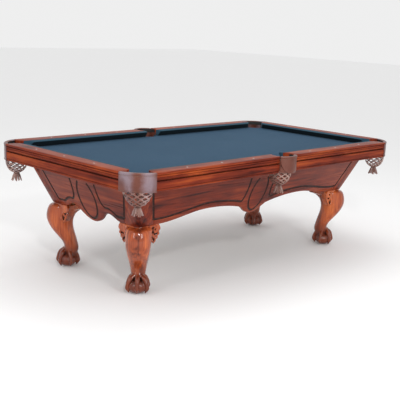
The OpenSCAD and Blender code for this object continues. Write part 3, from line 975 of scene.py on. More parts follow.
@dataclass
class Assembly:
    """A sub-assembly of the table, which builds its pieces and then dresses them."""

    plan: Plan

    def build(self) -> None:
        """Build and dress every piece."""
        raise NotImplementedError

    def dress(self, obj: Obj, finish: Finish | Sequence[Finish], slot: str, *nodes: str) -> Obj:
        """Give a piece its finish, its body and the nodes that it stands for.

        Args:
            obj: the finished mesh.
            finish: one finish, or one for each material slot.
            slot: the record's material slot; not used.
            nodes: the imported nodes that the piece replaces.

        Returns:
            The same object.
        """
        if isinstance(finish, Finish):
            obj.data.materials.clear()
            obj.data.materials.append(finish.material())
        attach(obj, "root")
        if nodes:
            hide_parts(*nodes)
        LOG.info("%s: %d faces", obj.name, len(obj.data.polygons))
        return obj


# ---- Legs -----------------------------------------------------------------------------------


@dataclass
class CabrioleLegs(Assembly):
    """Four carved legs: a cabriole shaft, a ball held in a claw, a square head and carved ears."""

    reach: float = 0.095
    setback: float = 0.071
    head: float = 0.034
    grain: float = 0.0026
    shaft_rings: tuple[tuple[float, float, float, float], ...] = (
        (0.050, 0.010, -0.046, 0.028), (0.078, 0.018, -0.064, 0.036), (0.102, 0.018, -0.077, 0.043),
        (0.127, 0.014, -0.079, 0.046), (0.150, 0.019, -0.074, 0.049), (0.175, 0.034, -0.067, 0.054),
        (0.202, 0.059, -0.060, 0.060), (0.238, 0.091, -0.048, 0.066), (0.276, 0.117, -0.040, 0.072),
        (0.314, 0.132, -0.042, 0.077), (0.350, 0.133, -0.058, 0.079), (0.388, 0.123, -0.072, 0.080),
        (0.4238, 0.104, -0.080, 0.081),
    )

    def build(self) -> None:
        """Build one leg and copy it to the four corners."""
        master = join("leg_master",
                      [self.shaft(), self.ball(), *self.claws(), self.pad(), *self.ears()])
        modify(master, "REMESH", mode="VOXEL", voxel_size=self.grain)
        modify(master, "SMOOTH", factor=0.5, iterations=2)
        smooth(master, 60.0)
        top = self.plan.leg_top
        foot = Vector((self.plan.face_x(top) - self.setback, self.plan.face_y(top) - self.setback,
                       0.0))
        for name, (sx, sy) in QUARTERS.items():
            leg = copy(master, f"leg_{name}_carved", mirrored(sx, sy) @ Matrix.Translation(foot))
            self.dress(leg, CARVED, "leg_wood", f"leg_{name}")
        discard(master)

    def turned(self, obj: Obj) -> Obj:
        """Turn a part drawn along the leg's diagonal into the corner's own axes."""
        obj.data.transform(Matrix.Rotation(math.pi / 4, 4, "Z"))
        return obj

    def shaft(self) -> Obj:
        """The S-shaped shaft from ankle to knee."""
        rings = [(((f + b) / 2, 0.0, z), ((f - b) / 2, half)) for z, f, b, half in self.shaft_rings]
        obj = loft("shaft", rings, 20)
        modify(obj, "SUBSURF", levels=2, render_levels=2)
        return self.turned(obj)

    def ball(self) -> Obj:
        """The ball under the claw, flattened where it stands.

        Returns:
            The ball.
        """
        bpy.ops.mesh.primitive_uv_sphere_add(segments=32, ring_count=20, radius=1.0)
        obj = made("ball")
        with editing(obj):
            select_everything()
            bpy.ops.transform.resize(value=(0.059, 0.064, 0.047))
            bpy.ops.transform.translate(value=(-0.007, 0.0, 0.0445))
            bpy.ops.mesh.bisect(
                plane_co=(0, 0, 0.0002), plane_no=(0, 0, 1), use_fill=True, clear_inner=True
            )
        return self.turned(outward(obj))

    def claws(self) -> list[Obj]:
        """Six jointed toes that grip the ball, each ending in a talon.

        Returns:
            The toes.
        """
        path = ((0.006, 0.128), (0.020, 0.110), (0.036, 0.094), (0.047, 0.076), (0.054, 0.058),
                (0.055, 0.040), (0.051, 0.024), (0.044, 0.010))
        size = (0.010, 0.0125, 0.0160, 0.0135, 0.0110, 0.0130, 0.0075, 0.0035)
        toes = []
        for angle, stretch, back in (
            (0, 1.0, 0.0), (60, 1.24, -0.002), (-60, 1.24, -0.002), (118, 1.25, -0.006),
            (-118, 1.25, -0.006),
            (180, 1.20, -0.010),
        ):
            a = math.radians(angle)
            points = [(back + r * stretch * math.cos(a), r * stretch * math.sin(a), z)
                      for r, z in path]
            toe = rod(f"toe_{len(toes)}", self.eased(points), self.eased_sizes(size), 3)
            toes.append(self.turned(toe))
        return toes

    @staticmethod
    def eased(points: Sequence[Point], steps: int = 3) -> list[Vector]:
        """A Catmull-Rom line through points, with a few steps to a span.

        Args:
            points: what the line passes through.
            steps: how many steps a span takes.

        Returns:
            The points of the line.
        """
        knots = [Vector(p) for p in points]
        knots = [knots[0] * 2 - knots[1], *knots, knots[-1] * 2 - knots[-2]]
        out = []
        for a, b, c, d in zip(knots, knots[1:], knots[2:], knots[3:]):
            for k in range(steps):
                t = k / steps
                out.append(
                    0.5
                    * (2 * b + (c - a) * t + (2 * a - 5 * b + 4 * c - d) * t**2
                       + (3 * b - a - 3 * c + d) * t**3)
                )
        return [*out, knots[-2]]

    @staticmethod
    def eased_sizes(sizes: Sequence[float], steps: int = 3) -> list[float]:
        """Sizes eased as the line between their points is."""
        return [v.x for v in CabrioleLegs.eased([(s, 0.0, 0.0) for s in sizes], steps)]

    def pad(self) -> Obj:
        """The square head, coved under its two inner edges.

        Returns:
            The head.
        """
        cove, top = 0.060, self.plan.leg_top - HAIR
        low = top - self.head - cove
        side = self.reach + self.setback
        middle = (self.setback - self.reach) / 2
        bpy.ops.mesh.primitive_cube_add(size=1.0)
        obj = made("pad")
        with editing(obj, Kind.EDGE):
            select_everything()
            bpy.ops.transform.resize(value=(side, side, top - low))
            bpy.ops.transform.translate(value=(middle, middle, (top + low) / 2))
            near, round_off = 0.001, 0.036
            pick(obj, Kind.EDGE, lambda p: min(p.x, p.y) > self.setback - near)
            bpy.ops.mesh.bevel(offset=round_off, offset_type="OFFSET", segments=6)
            pick(obj, Kind.EDGE,
                 lambda p: abs(p.z - low) < near and min(p.x, p.y) < near - self.reach)
            bpy.ops.mesh.bevel(offset=cove, offset_type="OFFSET", segments=8, profile=0.12)
            pick(obj, Kind.VERT,
                 lambda p: p.z < low + near and max(p.x, p.y) > self.setback - round_off)
            bpy.ops.transform.resize(value=(0.35, 0.35, 1.0), center_override=(-0.01, -0.01, low))
        return outward(obj)

    def ears(self) -> list[Obj]:
        """Carved ears on both outer faces: a scroll round a hollow, a volute and leaf lobes.

        Returns:
            The two ears.
        """
        face = self.setback - 0.005
        plate = board(
            "ear_plate",
            [(x, face - 0.012, z) for x, z in (
                (-0.098, 0.4236), (-0.101, 0.396), (-0.094, 0.372), (-0.083, 0.350),
                (-0.068, 0.328), (-0.050, 0.308), (-0.028, 0.318), (-0.014, 0.350),
                (0.010, 0.4236))],
            (0.0, -0.036, 0.0),
        )
        inner = [(-0.058, 0.4165), (-0.038, 0.4175), (-0.022, 0.410), (-0.015, 0.394),
                 (-0.018, 0.376), (-0.026, 0.358), (-0.036, 0.340), (-0.046, 0.324),
                 (-0.055, 0.311)]
        sizes = (0.0050, 0.0066, 0.0076, 0.0080, 0.0080, 0.0076, 0.0070, 0.0058, 0.0036)
        rim = self.bead("ear_rim", self.smoothed(inner), self.eased_sizes(sizes), face + 0.001)
        outer = [(-0.078, 0.418), (-0.094, 0.411), (-0.098, 0.394), (-0.091, 0.379),
                 (-0.093, 0.365), (-0.083, 0.356), (-0.081, 0.343), (-0.070, 0.336),
                 (-0.066, 0.324), (-0.056, 0.313)]
        sizes = (0.0070, 0.0084, 0.0092, 0.0064, 0.0084, 0.0058, 0.0078, 0.0054, 0.0066, 0.0036)
        edge = self.bead("ear_edge", self.smoothed(outer), self.eased_sizes(sizes), face - 0.002)
        turns = 20
        spiral = [
            (-0.068 + 0.0200 * (1 - 0.72 * k / turns) * math.cos(0.50 * k + 1.9),
             0.393 + 0.0210 * (1 - 0.72 * k / turns) * math.sin(0.50 * k + 1.9))
             for k in range(turns)]
        volute = self.bead("ear_volute", spiral,
                           [0.0070 - 0.0030 * k / turns for k in range(turns)], face + 0.001)
        leaves = []
        lobes = (
            (-0.040, 0.378, -118, 0.044), (-0.054, 0.370, -112, 0.040), (-0.070, 0.364, -108, 0.026)
        )
        for k, (x, z, lean, length) in enumerate(lobes):
            a = math.radians(lean)
            along = [(x + math.cos(a) * length * s, z + math.sin(a) * length * s)
                     for s in (0.0, 0.35, 0.7, 1.0)]
            leaves.append(self.bead(f"ear_leaf_{k}", along, (0.0030, 0.0054, 0.0050, 0.0020),
                                    face - 0.005))
        side = join("ear", [plate, rim, edge, volute, *leaves])
        swap = Matrix(((0, 1, 0, 0), (1, 0, 0, 0), (0, 0, 1, 0), (0, 0, 0, 1)))
        return [side, copy(side, "ear_other", swap)]

    @staticmethod
    def smoothed(path: Sequence[Pair]) -> list[Pair]:
        """A path on a face, drawn as (x, z), with steps between its points."""
        return [(v.x, v.z) for v in CabrioleLegs.eased([(x, 0.0, z) for x, z in path])]

    @staticmethod
    def bead(name: str, path: Sequence[Pair], sizes: Sequence[float], face: float) -> Obj:
        """A tapered bead on the outer face, drawn as (x, z)."""
        return rod(name, [(x, face, z) for x, z in path], sizes, 2)


# ---- Cabinet --------------------------------------------------------------------------------


@dataclass(frozen=True)
class Edge:
    """The lower edge of an apron, and the carved lines that follow it."""

    foot: float
    crest: float
    tail: float
    rise: float
    oval: float
    flank: tuple[Pair, ...]
    lobe_half: float = 0.112
    lobe_drop: float = 0.048
    lip: float = 0.006
    margin: float = 0.037

    def height(self, u: float) -> float:
        """Height of the lower edge above the posts' foot, at a distance from the middle.

        Args:
            u: the distance from the apron's middle.

        Returns:
            The height above the posts' foot.
        """
        u = abs(u)
        if u < self.lobe_half:
            return -self.lobe_drop + (self.lobe_drop + self.lip) * (u / self.lobe_half) ** 2
        if u < self.crest:
            down = (self.crest - u) / (self.crest - self.lobe_half)
            return self.rise - (self.rise - self.lip) * down**2.2
        if u < self.tail:
            turn = math.pi * (u - self.crest) / (self.tail - self.crest)
            return self.rise * (1 + math.cos(turn)) / 2
        return 0.0


@dataclass
class Cabinet(Assembly):
    """Leaning aprons with a carved oval and panels, between four corner posts."""

    groove: float = 0.0084
    stand_off: float = 0.0028
    round_corner: float = 0.026
    net_room: float = 0.068
    net_room_z: float = 0.724

    def edges(self) -> tuple[Edge, Edge]:
        """The side aprons' edge and the end aprons' edge.

        Returns:
            The side edge and the end edge.
        """
        side_foot = self.plan.face_x(self.plan.leg_top) - self.plan.post_width
        end_foot = self.plan.face_y(self.plan.leg_top) - self.plan.post_width
        half = Edge.lobe_half
        side = Edge(
            side_foot, half + (side_foot - half) * 0.44, side_foot - 0.046, 0.046, 0.073,
            ((0.126, 0.636), (0.121, 0.600), (0.119, 0.560), (0.122, 0.520), (0.133, 0.482)),
        )
        end = Edge(
            end_foot, half + (end_foot - half) * 0.34, end_foot - 0.036, 0.035, 0.080,
            ((0.119, 0.634), (0.119, 0.600), (0.122, 0.560), (0.130, 0.524), (0.146, 0.500)),
        )
        return side, end

    def build(self) -> None:
        """Build the posts and the aprons."""
        side_edge, end_edge = self.edges()
        side = self.apron("apron_side", side_edge, self.plan.face_y, self.plan.face_x)
        end = self.apron("apron_end", end_edge, self.plan.face_x, self.plan.face_y)
        turn = Matrix.Rotation(-math.pi / 2, 4, "Z")
        for name, sy in (("back", 1), ("front", -1)):
            piece = copy(side, f"apron_{name}_carved", mirrored(1, sy))
            self.finish(piece, WOOD_ALONG, f"apron_{name}")
        for name, sx in (("right", 1), ("left", -1)):
            piece = copy(end, f"apron_{name}_carved", mirrored(sx, 1) @ turn)
            self.finish(piece, WOOD_ACROSS, f"apron_{name}")
        post = self.post()
        for name, (sx, sy) in QUARTERS.items():
            piece = copy(post, f"post_{name}_carved", mirrored(sx, sy))
            self.finish(piece, WOOD_UPRIGHT, f"post_{name}")
        discard(side, end, post)

    def finish(self, piece: Obj, wood: Finish, node: str) -> None:
        """Put the wood on a carved piece and keep the glaze in its grooves."""
        piece.data.materials[0] = wood.material()
        self.dress(piece, (wood, GLAZE), "cabinet_wood", node)

    def apron(self, name: str, edge: Edge, face: Callable[[float], float],
              end: Callable[[float], float]) -> Obj:
        """One apron, drawn along X on the +Y side.

        Args:
            name: its name.
            edge: its lower edge.
            face: half width of the outer face at a height.
            end: half length of the cabinet at a height.

        Returns:
            The carved board.
        """
        top, low, gap = self.plan.cabinet_top, self.plan.leg_top, 0.0005
        width = self.plan.post_width + gap

        def on_face(u: float, z: float) -> Point:
            """A point of the outer face."""
            return (u, face(z), z)

        def off_face(u: float, z: float) -> Point:
            """A point a little outside the face, where a wide and shallow gouge runs."""
            return (u, face(z) + self.stand_off, z)

        samples = 72
        half = edge.foot - gap
        under = [(half * (2 * k / samples - 1)) for k in range(1, samples)]
        outline = [
            on_face(-(end(top) - width), top), on_face(-half, low),
            *(on_face(u, low + edge.height(u)) for u in under),
            on_face(half, low), on_face(end(top) - width, top),
        ]
        obj = board(name, outline, (0.0, -self.plan.board, 0.0))
        ease_edges(obj, 0.0022, 50)
        obj.data.materials.append(WOOD_ALONG.material())
        for tool in self.gouges(edge, off_face, end):
            carve(obj, tool)
        return smooth(obj, 32.0)

    def gouges(
        self, edge: Edge, on_face: Callable[[float, float], Point], end: Callable[[float], float]
    ) -> list[Obj]:
        """The cutters for an apron's oval, panels and joints.

        Args:
            edge: the apron's lower edge.
            on_face: turns a distance and a height into a point.
            end: half length of the cabinet at a height.

        Returns:
            The cutters.
        """
        low, tools = self.plan.leg_top, []
        middle, tall = 0.5205, 0.1255
        sweep = [math.radians(a) for a in range(-238, 59, 8)]
        ring = [on_face(edge.oval * math.cos(a), middle + tall * math.sin(a)) for a in sweep]
        tools.append(self.gouge(ring, self.groove))
        joint = edge.foot
        start = edge.flank[-1][0] + 0.014
        steps = 14
        for side in (-1, 1):
            arch = []
            for k in range(steps + 1):
                u = start + (joint + 0.016 - start) * k / steps
                arch.append((u, low + max(edge.height(u), 0.0) + edge.margin - 0.001 * math.sin(k)))
            path = [on_face(side * u, z) for u, z in (*edge.flank, *arch)]
            tools.append(self.gouge(CabrioleLegs.eased(path, 2), self.groove))
            tools.append(self.joint_gouge(side, on_face, end))
        return tools

    def joint_gouge(
        self, side: int, on_face: Callable[[float, float], Point], end: Callable[[float], float]
    ) -> Obj:
        """The cutter for the upright groove between an apron and a post."""
        heights = [self.plan.leg_top + 0.036 + 0.3 * k / 8 for k in range(9)]
        path = [on_face(side * (end(z) - self.plan.post_width), z) for z in heights]
        return self.gouge(path, self.groove)

    def gouge(self, path: Sequence[Sequence[float]], radius: float) -> Obj:
        """A round cutter along a path, which leaves glaze where it cuts."""
        tool = rod("gouge", path, radius, 3)
        tool.data.materials.append(GLAZE.material())
        return tool

    def post(self) -> Obj:
        """The corner post at +X +Y: two leaning leaves with a rounded corner between them.

        Returns:
            The carved post.
        """
        plan = self.plan
        low, top = plan.leg_top, plan.cabinet_top
        fx, fy = plan.face_x(low), plan.face_y(low)
        w, t, r = plan.post_width, plan.board, self.round_corner
        bend = [
            (fx - r + r * math.sin(a), fy - r + r * math.cos(a), low)
            for a in (math.radians(90 * k / 8) for k in range(9))
        ]
        outline = [
            (fx - w, fy, low), *bend, (fx, fy - w, low), (fx - t, fy - w, low),
            (fx - t, fy - t, low),
            (fx - w, fy - t, low),
        ]
        shift = plan.face_x(top) - fx
        obj = board("post", outline, (shift, shift, top - low))
        ease_edges(obj, 0.0018, 50)
        obj.data.materials.append(WOOD_UPRIGHT.material())
        off = self.stand_off
        carve(obj, self.joint_gouge(1, lambda u, z: (u, plan.face_y(z) + off, z), plan.face_x))
        carve(obj, self.joint_gouge(1, lambda u, z: (plan.face_x(z) + off, u, z), plan.face_y))
        net = plan.corner_net
        bpy.ops.mesh.primitive_cylinder_add(
            vertices=48, radius=self.net_room, depth=0.3, location=(net[0], net[1], self.net_room_z)
        )
        carve(obj, made("net_room"))
        return smooth(obj, 32.0)


# ---- Rails, cushions and bed ----------------------------------------------------------------


@dataclass
class Rails(Assembly):
    """Rail caps, the moulded blinds under them and the rubber cushions in their cloth."""

    side_point: float = 0.065
    side_run: float = 0.0097
    corner_point: float = 0.085
    nose_run: float = 0.0524
    shoulder: float = 0.080

    def build(self) -> None:
        """Build one side rail and one end rail, and copy them round the table."""
        plan = self.plan
        side_cap = self.cut("side_cap", self.cap_section(), self.side_plan())
        side_cushion = self.cut("side_cushion", self.cushion_section(), self.side_cushion_plan())
        side_blind = self.lay("side_blind", self.blind_section(), plan.side_cut, plan.corner_end[0])
        for name, (sx, sy) in QUARTERS.items():
            turn = mirrored(sx, sy)
            self.dress(copy(side_cap, f"rail_{name}_cap", turn), RAIL_ALONG, "rail_wood",
                       f"rail_{name}")
            self.dress(copy(side_blind, f"blind_{name}_moulded", turn), RAIL_ALONG, "blind_wood",
                       f"blind_{name}")
            self.cushion(copy(side_cushion, f"cushion_{name}_cloth", turn), f"cushion_{name}")
        end_cap = self.cut("end_cap", self.cap_section(), self.end_plan(), across=True)
        end_cushion = self.cut("end_cushion", self.cushion_section(), self.end_cushion_plan(),
                               across=True)
        reach = plan.corner_end[1]
        end_blind = self.lay("end_blind", self.blind_section(), -reach, reach, across=True)
        for name, sx in (("right", 1), ("left", -1)):
            turn = mirrored(sx, 1)
            self.dress(copy(end_cap, f"rail_end_{name}_cap", turn), RAIL_ACROSS, "rail_wood",
                       f"rail_end_{name}")
            self.dress(
                copy(end_blind, f"blind_end_{name}_moulded", turn), RAIL_ACROSS, "blind_wood",
                f"blind_end_{name}"
            )
            self.cushion(copy(end_cushion, f"cushion_end_{name}_cloth", turn),
                         f"cushion_end_{name}")
        discard(side_cap, side_cushion, side_blind, end_cap, end_cushion, end_blind)

    def cushion(self, obj: Obj, node: str) -> None:
        """Dress a cushion: firm rubber under stretched cloth."""
        self.dress(obj, CUSHION_CLOTH, "cushion_cloth", node)

    def lay(self, name: str, section: Sequence[Pair], start: float, stop: float,
            across: bool = False) -> Obj:
        """Lay a section along a side or an end.

        Args:
            name: the piece's name.
            section: points as (distance out from the nose line, height).
            start: where it starts.
            stop: where it stops.
            across: whether it lies along the +X end.

        Returns:
            The solid.
        """
        plan = self.plan
        if across:
            outline = [(plan.field_x + u, start, z) for u, z in section]
            along = (0.0, stop - start, 0.0)
        else:
            outline = [(start, plan.field_y + u, z) for u, z in section]
            along = (stop - start, 0.0, 0.0)
        return smooth(board(name, outline, along, 8), 32.0)

    def cut(self, name: str, section: Sequence[Pair], outline: Sequence[Pair],
            across: bool = False) -> Obj:
        """Lay a section and keep what is inside a plan outline.

        Args:
            name: the piece's name.
            section: points as (distance out from the nose line, height).
            outline: the plan to keep.
            across: whether it lies along the +X end.

        Returns:
            The solid.
        """
        start, stop = (-0.8, 0.8) if across else (-0.05, 1.3)
        obj = self.lay(name, section, start, stop, across)
        room = board("plan", [(x, y, 0.6) for x, y in outline], (0.0, 0.0, 0.3))
        carve(obj, room, Cut.KEEP)
        ease_edges(obj, 0.0008, 48)
        return smooth(obj, 32.0)

    def cap_section(self) -> list[Pair]:
        """The wood cap: a flat top, a round nosing and the sub-rail that stands on the slate.

        Returns:
            Points as (distance out from the nose line, height).
        """
        top, bed, low = self.plan.rail_top, self.plan.bed_z + HAIR, self.plan.cap_bottom
        inner, back, nose, r = self.plan.cushion + 0.0002, 0.104, 0.1255, 0.0075
        nosing = [
            (nose + r * math.cos(a), top - r + r * math.sin(a))
            for a in (math.radians(90 - 16 * k) for k in range(11))
        ]
        return [
            (inner, bed), (inner, top - 0.0010), (inner + 0.0010, top), (0.085, top), *nosing,
            (0.1240, top - 0.0160), (0.1235, low), (back, low), (back, bed),
        ]

    def blind_section(self) -> list[Pair]:
        """The moulded blind: a fillet, a bead, a deep quirk, a flat band and a lip.

        Returns:
            Points as (distance out from the nose line, height).
        """
        top, low, back = self.plan.cap_bottom - HAIR, self.plan.blind_bottom, 0.1043
        bead = [
            (0.1250 + 0.0042 * math.cos(a), 0.7632 + 0.0046 * math.sin(a))
            for a in (math.radians(75 - 25 * k) for k in range(7))
        ]
        lip = [
            (0.1225 + 0.0045 * math.cos(a), 0.6975 + 0.0060 * math.sin(a))
            for a in (math.radians(70 - 25 * k) for k in range(6))
        ]
        return [
            (back, low), (back, top), (0.1275, top), (0.1280, 0.7760), (0.1280, 0.7700),
            (0.1258, 0.7688), *bead, (0.1245, 0.7575), (0.1245, 0.7545), (0.1190, 0.7528),
            (0.1172, 0.7500),
            (0.1190, 0.7472),
            (0.1262, 0.7462), (0.1280, 0.7446), (0.1280, 0.7078), (0.1266, 0.7064),
            (0.1238, 0.7058), *lip,
            (0.1180, low),
        ]

    def cushion_section(self) -> list[Pair]:
        """The cushion: a cloth-covered rubber wedge with a round nose.

        Returns:
            Points as (distance out from the nose line, height).
        """
        top, bed, back = self.plan.rail_top, self.plan.bed_z, self.plan.cushion - HAIR
        return [
            (back, bed + 0.0008), (back, top - 0.0016), (back - 0.0020, top - 0.0007),
            (0.0300, top - 0.0008), (0.0180, top - 0.0018), (0.0085, top - 0.0034),
            (0.0038, top - 0.0045),
            (0.0012, top - 0.0055),
            (0.0, top - 0.0068), (0.0005, top - 0.0084), (0.0026, top - 0.0104),
            (0.0130, bed + 0.0170), (0.0235, bed + 0.0042), (0.0262, bed + 0.0008),
        ]

    def side_plan(self) -> list[Pair]:
        """Plan of a side rail's cap.

        Returns:
            The outline to keep.
        """
        plan = self.plan
        py, w, cut, end = plan.field_y, plan.cushion, plan.side_cut, plan.corner_end[0]
        return [
            (self.side_point - self.side_run + 0.001, py + w - 0.001),
            (cut - 0.012, py + w + 0.012),
            (cut - 0.004, py + w + 0.020), (cut, py + w + 0.030), (cut, 0.8), (end, 0.8),
            (end, py + self.shoulder),
            (plan.field_x - self.corner_point + self.nose_run, py + w - 0.001),
        ]

    def end_plan(self) -> list[Pair]:
        """Plan of an end rail's cap."""
        plan = self.plan
        px, w, end = plan.field_x, plan.cushion, plan.corner_end[1]
        nose = plan.field_y - self.corner_point + self.nose_run
        half = [(px + w - 0.001, nose), (px + self.shoulder, end), (1.4, end)]
        return [*half, *((x, -y) for x, y in half[::-1])]

    def side_cushion_plan(self) -> list[Pair]:
        """Plan of a side cushion.

        Returns:
            The outline to keep.
        """
        plan = self.plan
        py, w, nose = plan.field_y, plan.cushion, plan.field_x - self.corner_point
        return [
            (self.side_point, py - 0.01), (self.side_point, py),
            (self.side_point - self.side_run, py + w),
            (nose + self.nose_run, py + w), (nose, py), (nose, py - 0.01),
        ]

    def end_cushion_plan(self) -> list[Pair]:
        """Plan of an end cushion."""
        plan = self.plan
        px, w, nose = plan.field_x, plan.cushion, plan.field_y - self.corner_point
        half = [(px - 0.01, nose), (px, nose), (px + w, nose + self.nose_run)]
        return [*half, *((x, -y) for x, y in half[::-1])]


@dataclass
class Bed(Assembly):
    """The stretched bed cloth, folded down into every pocket, and the pearl sights on the rails."""

    overlap: float = 0.068
    fold: float = 0.020
    weight: float = 0.0008

    def build(self) -> None:
        """Build the cloth and the sights."""
        self.cloth()
        self.sights()

    def cloth(self) -> None:
        """The cloth: one sheet cut round the pockets, with a fold down each hole."""
        plan = self.plan
        sx, sy = plan.field_x + self.overlap - HAIR, plan.field_y + self.overlap - HAIR
        low = plan.bed_z - self.weight
        sheet = board("bed_cloth_sheet",
                      [(-sx, -sy, low), (sx, -sy, low), (sx, sy, low), (-sx, sy, low)],
                      (0.0, 0.0, self.weight))
        folds = []
        for middle, facing in self.holes():
            carve(sheet, self.keyhole(middle, facing))
            folds.append(self.turned_down(middle, facing))
        obj = smooth(join("bed_cloth_stretched", [sheet, *folds]), 40.0)
        self.dress(obj, CLOTH, "bed_cloth", "bed_cloth")

    def holes(self) -> list[tuple[Pair, float]]:
        """Every pocket hole: its middle and the way it opens, in degrees."""
        hx, hy = self.plan.corner_hole
        found = [((a * hx, b * hy), math.degrees(math.atan2(b, a))) for a, b in QUARTERS.values()]
        side = self.plan.side_hole[1]
        return [*found, ((0.0, side), 90.0), ((0.0, -side), -90.0)]

    def rim(self, middle: Pair, facing: float, radius: float) -> list[Pair]:
        """The closed side of a hole, as points round it."""
        angles = [math.radians(facing + 97 + 166 * k / 28) for k in range(29)]
        return [(middle[0] + radius * math.cos(a), middle[1] + radius * math.sin(a))
                for a in angles]

    def keyhole(self, middle: Pair, facing: float) -> Obj:
        """The cutter for a hole that opens to the cloth's edge."""
        arc = self.rim(middle, facing, self.plan.hole)
        far = Vector((math.cos(math.radians(facing)), math.sin(math.radians(facing)))) * 0.3
        corners = [(p[0] + far.x, p[1] + far.y) for p in (arc[-1], arc[0])]
        low = self.plan.bed_z - 0.01
        return board("keyhole", [(x, y, low) for x, y in (*arc, *corners)], (0.0, 0.0, 0.02))

    def turned_down(self, middle: Pair, facing: float) -> Obj:
        """The strip of cloth that is pulled down over the slate's edge.

        Args:
            middle: the hole's middle.
            facing: the way it opens, in degrees.

        Returns:
            The strip.
        """
        top = self.plan.bed_z - 0.0004
        obj = line("fold",
                   [(x, y, top) for x, y in self.rim(middle, facing, self.plan.hole - 0.0004)])
        with editing(obj, Kind.EDGE):
            select_everything()
            bpy.ops.mesh.extrude_region_move(
                TRANSFORM_OT_translate={"value": (0.0, 0.0, -self.fold)}
            )
        modify(obj, "SOLIDIFY", thickness=self.weight, offset=0.0)
        return outward(obj)

    def sights(self) -> None:
        """Eighteen domed pearl discs let into the rails."""
        plan = self.plan
        bpy.ops.mesh.primitive_cylinder_add(vertices=28, radius=0.0055, depth=0.0030)
        disc = made("sight")
        with editing(disc, Kind.FACE):
            pick(disc, Kind.FACE, lambda p: p.z > 0.001)
            bpy.ops.mesh.inset(thickness=0.0009)
            bpy.ops.transform.translate(value=(0.0, 0.0, 0.0003))
            bpy.ops.mesh.inset(thickness=0.0022)
            bpy.ops.transform.translate(value=(0.0, 0.0, 0.0002))
        out, depth = 0.087, plan.rail_top - 0.0015
        spots = [(t * k * plan.field_x / 4, s * (plan.field_y + out)) for s in (-1, 1)
                 for t in (-1, 1) for k in (1, 2, 3)]
        spots += [(s * (plan.field_x + out), k * plan.field_y / 2) for s in (-1, 1)
                  for k in (-1, 0, 1)]
        discs = [copy(disc, "sight_disc", Matrix.Translation((x, y, depth))) for x, y in spots]
        discard(disc)
        self.dress(smooth(join("sights_pearl", discs), 50.0), PEARL, "pearl", "sights")


# ---- Pockets --------------------------------------------------------------------------------


@dataclass(frozen=True)
class Mouth:
    """One kind of pocket: the circle of its leather and the middle of its net."""

    circle: Pair
    radius: float
    spread: float
    net: Pair
    facing: float
    half_width: float


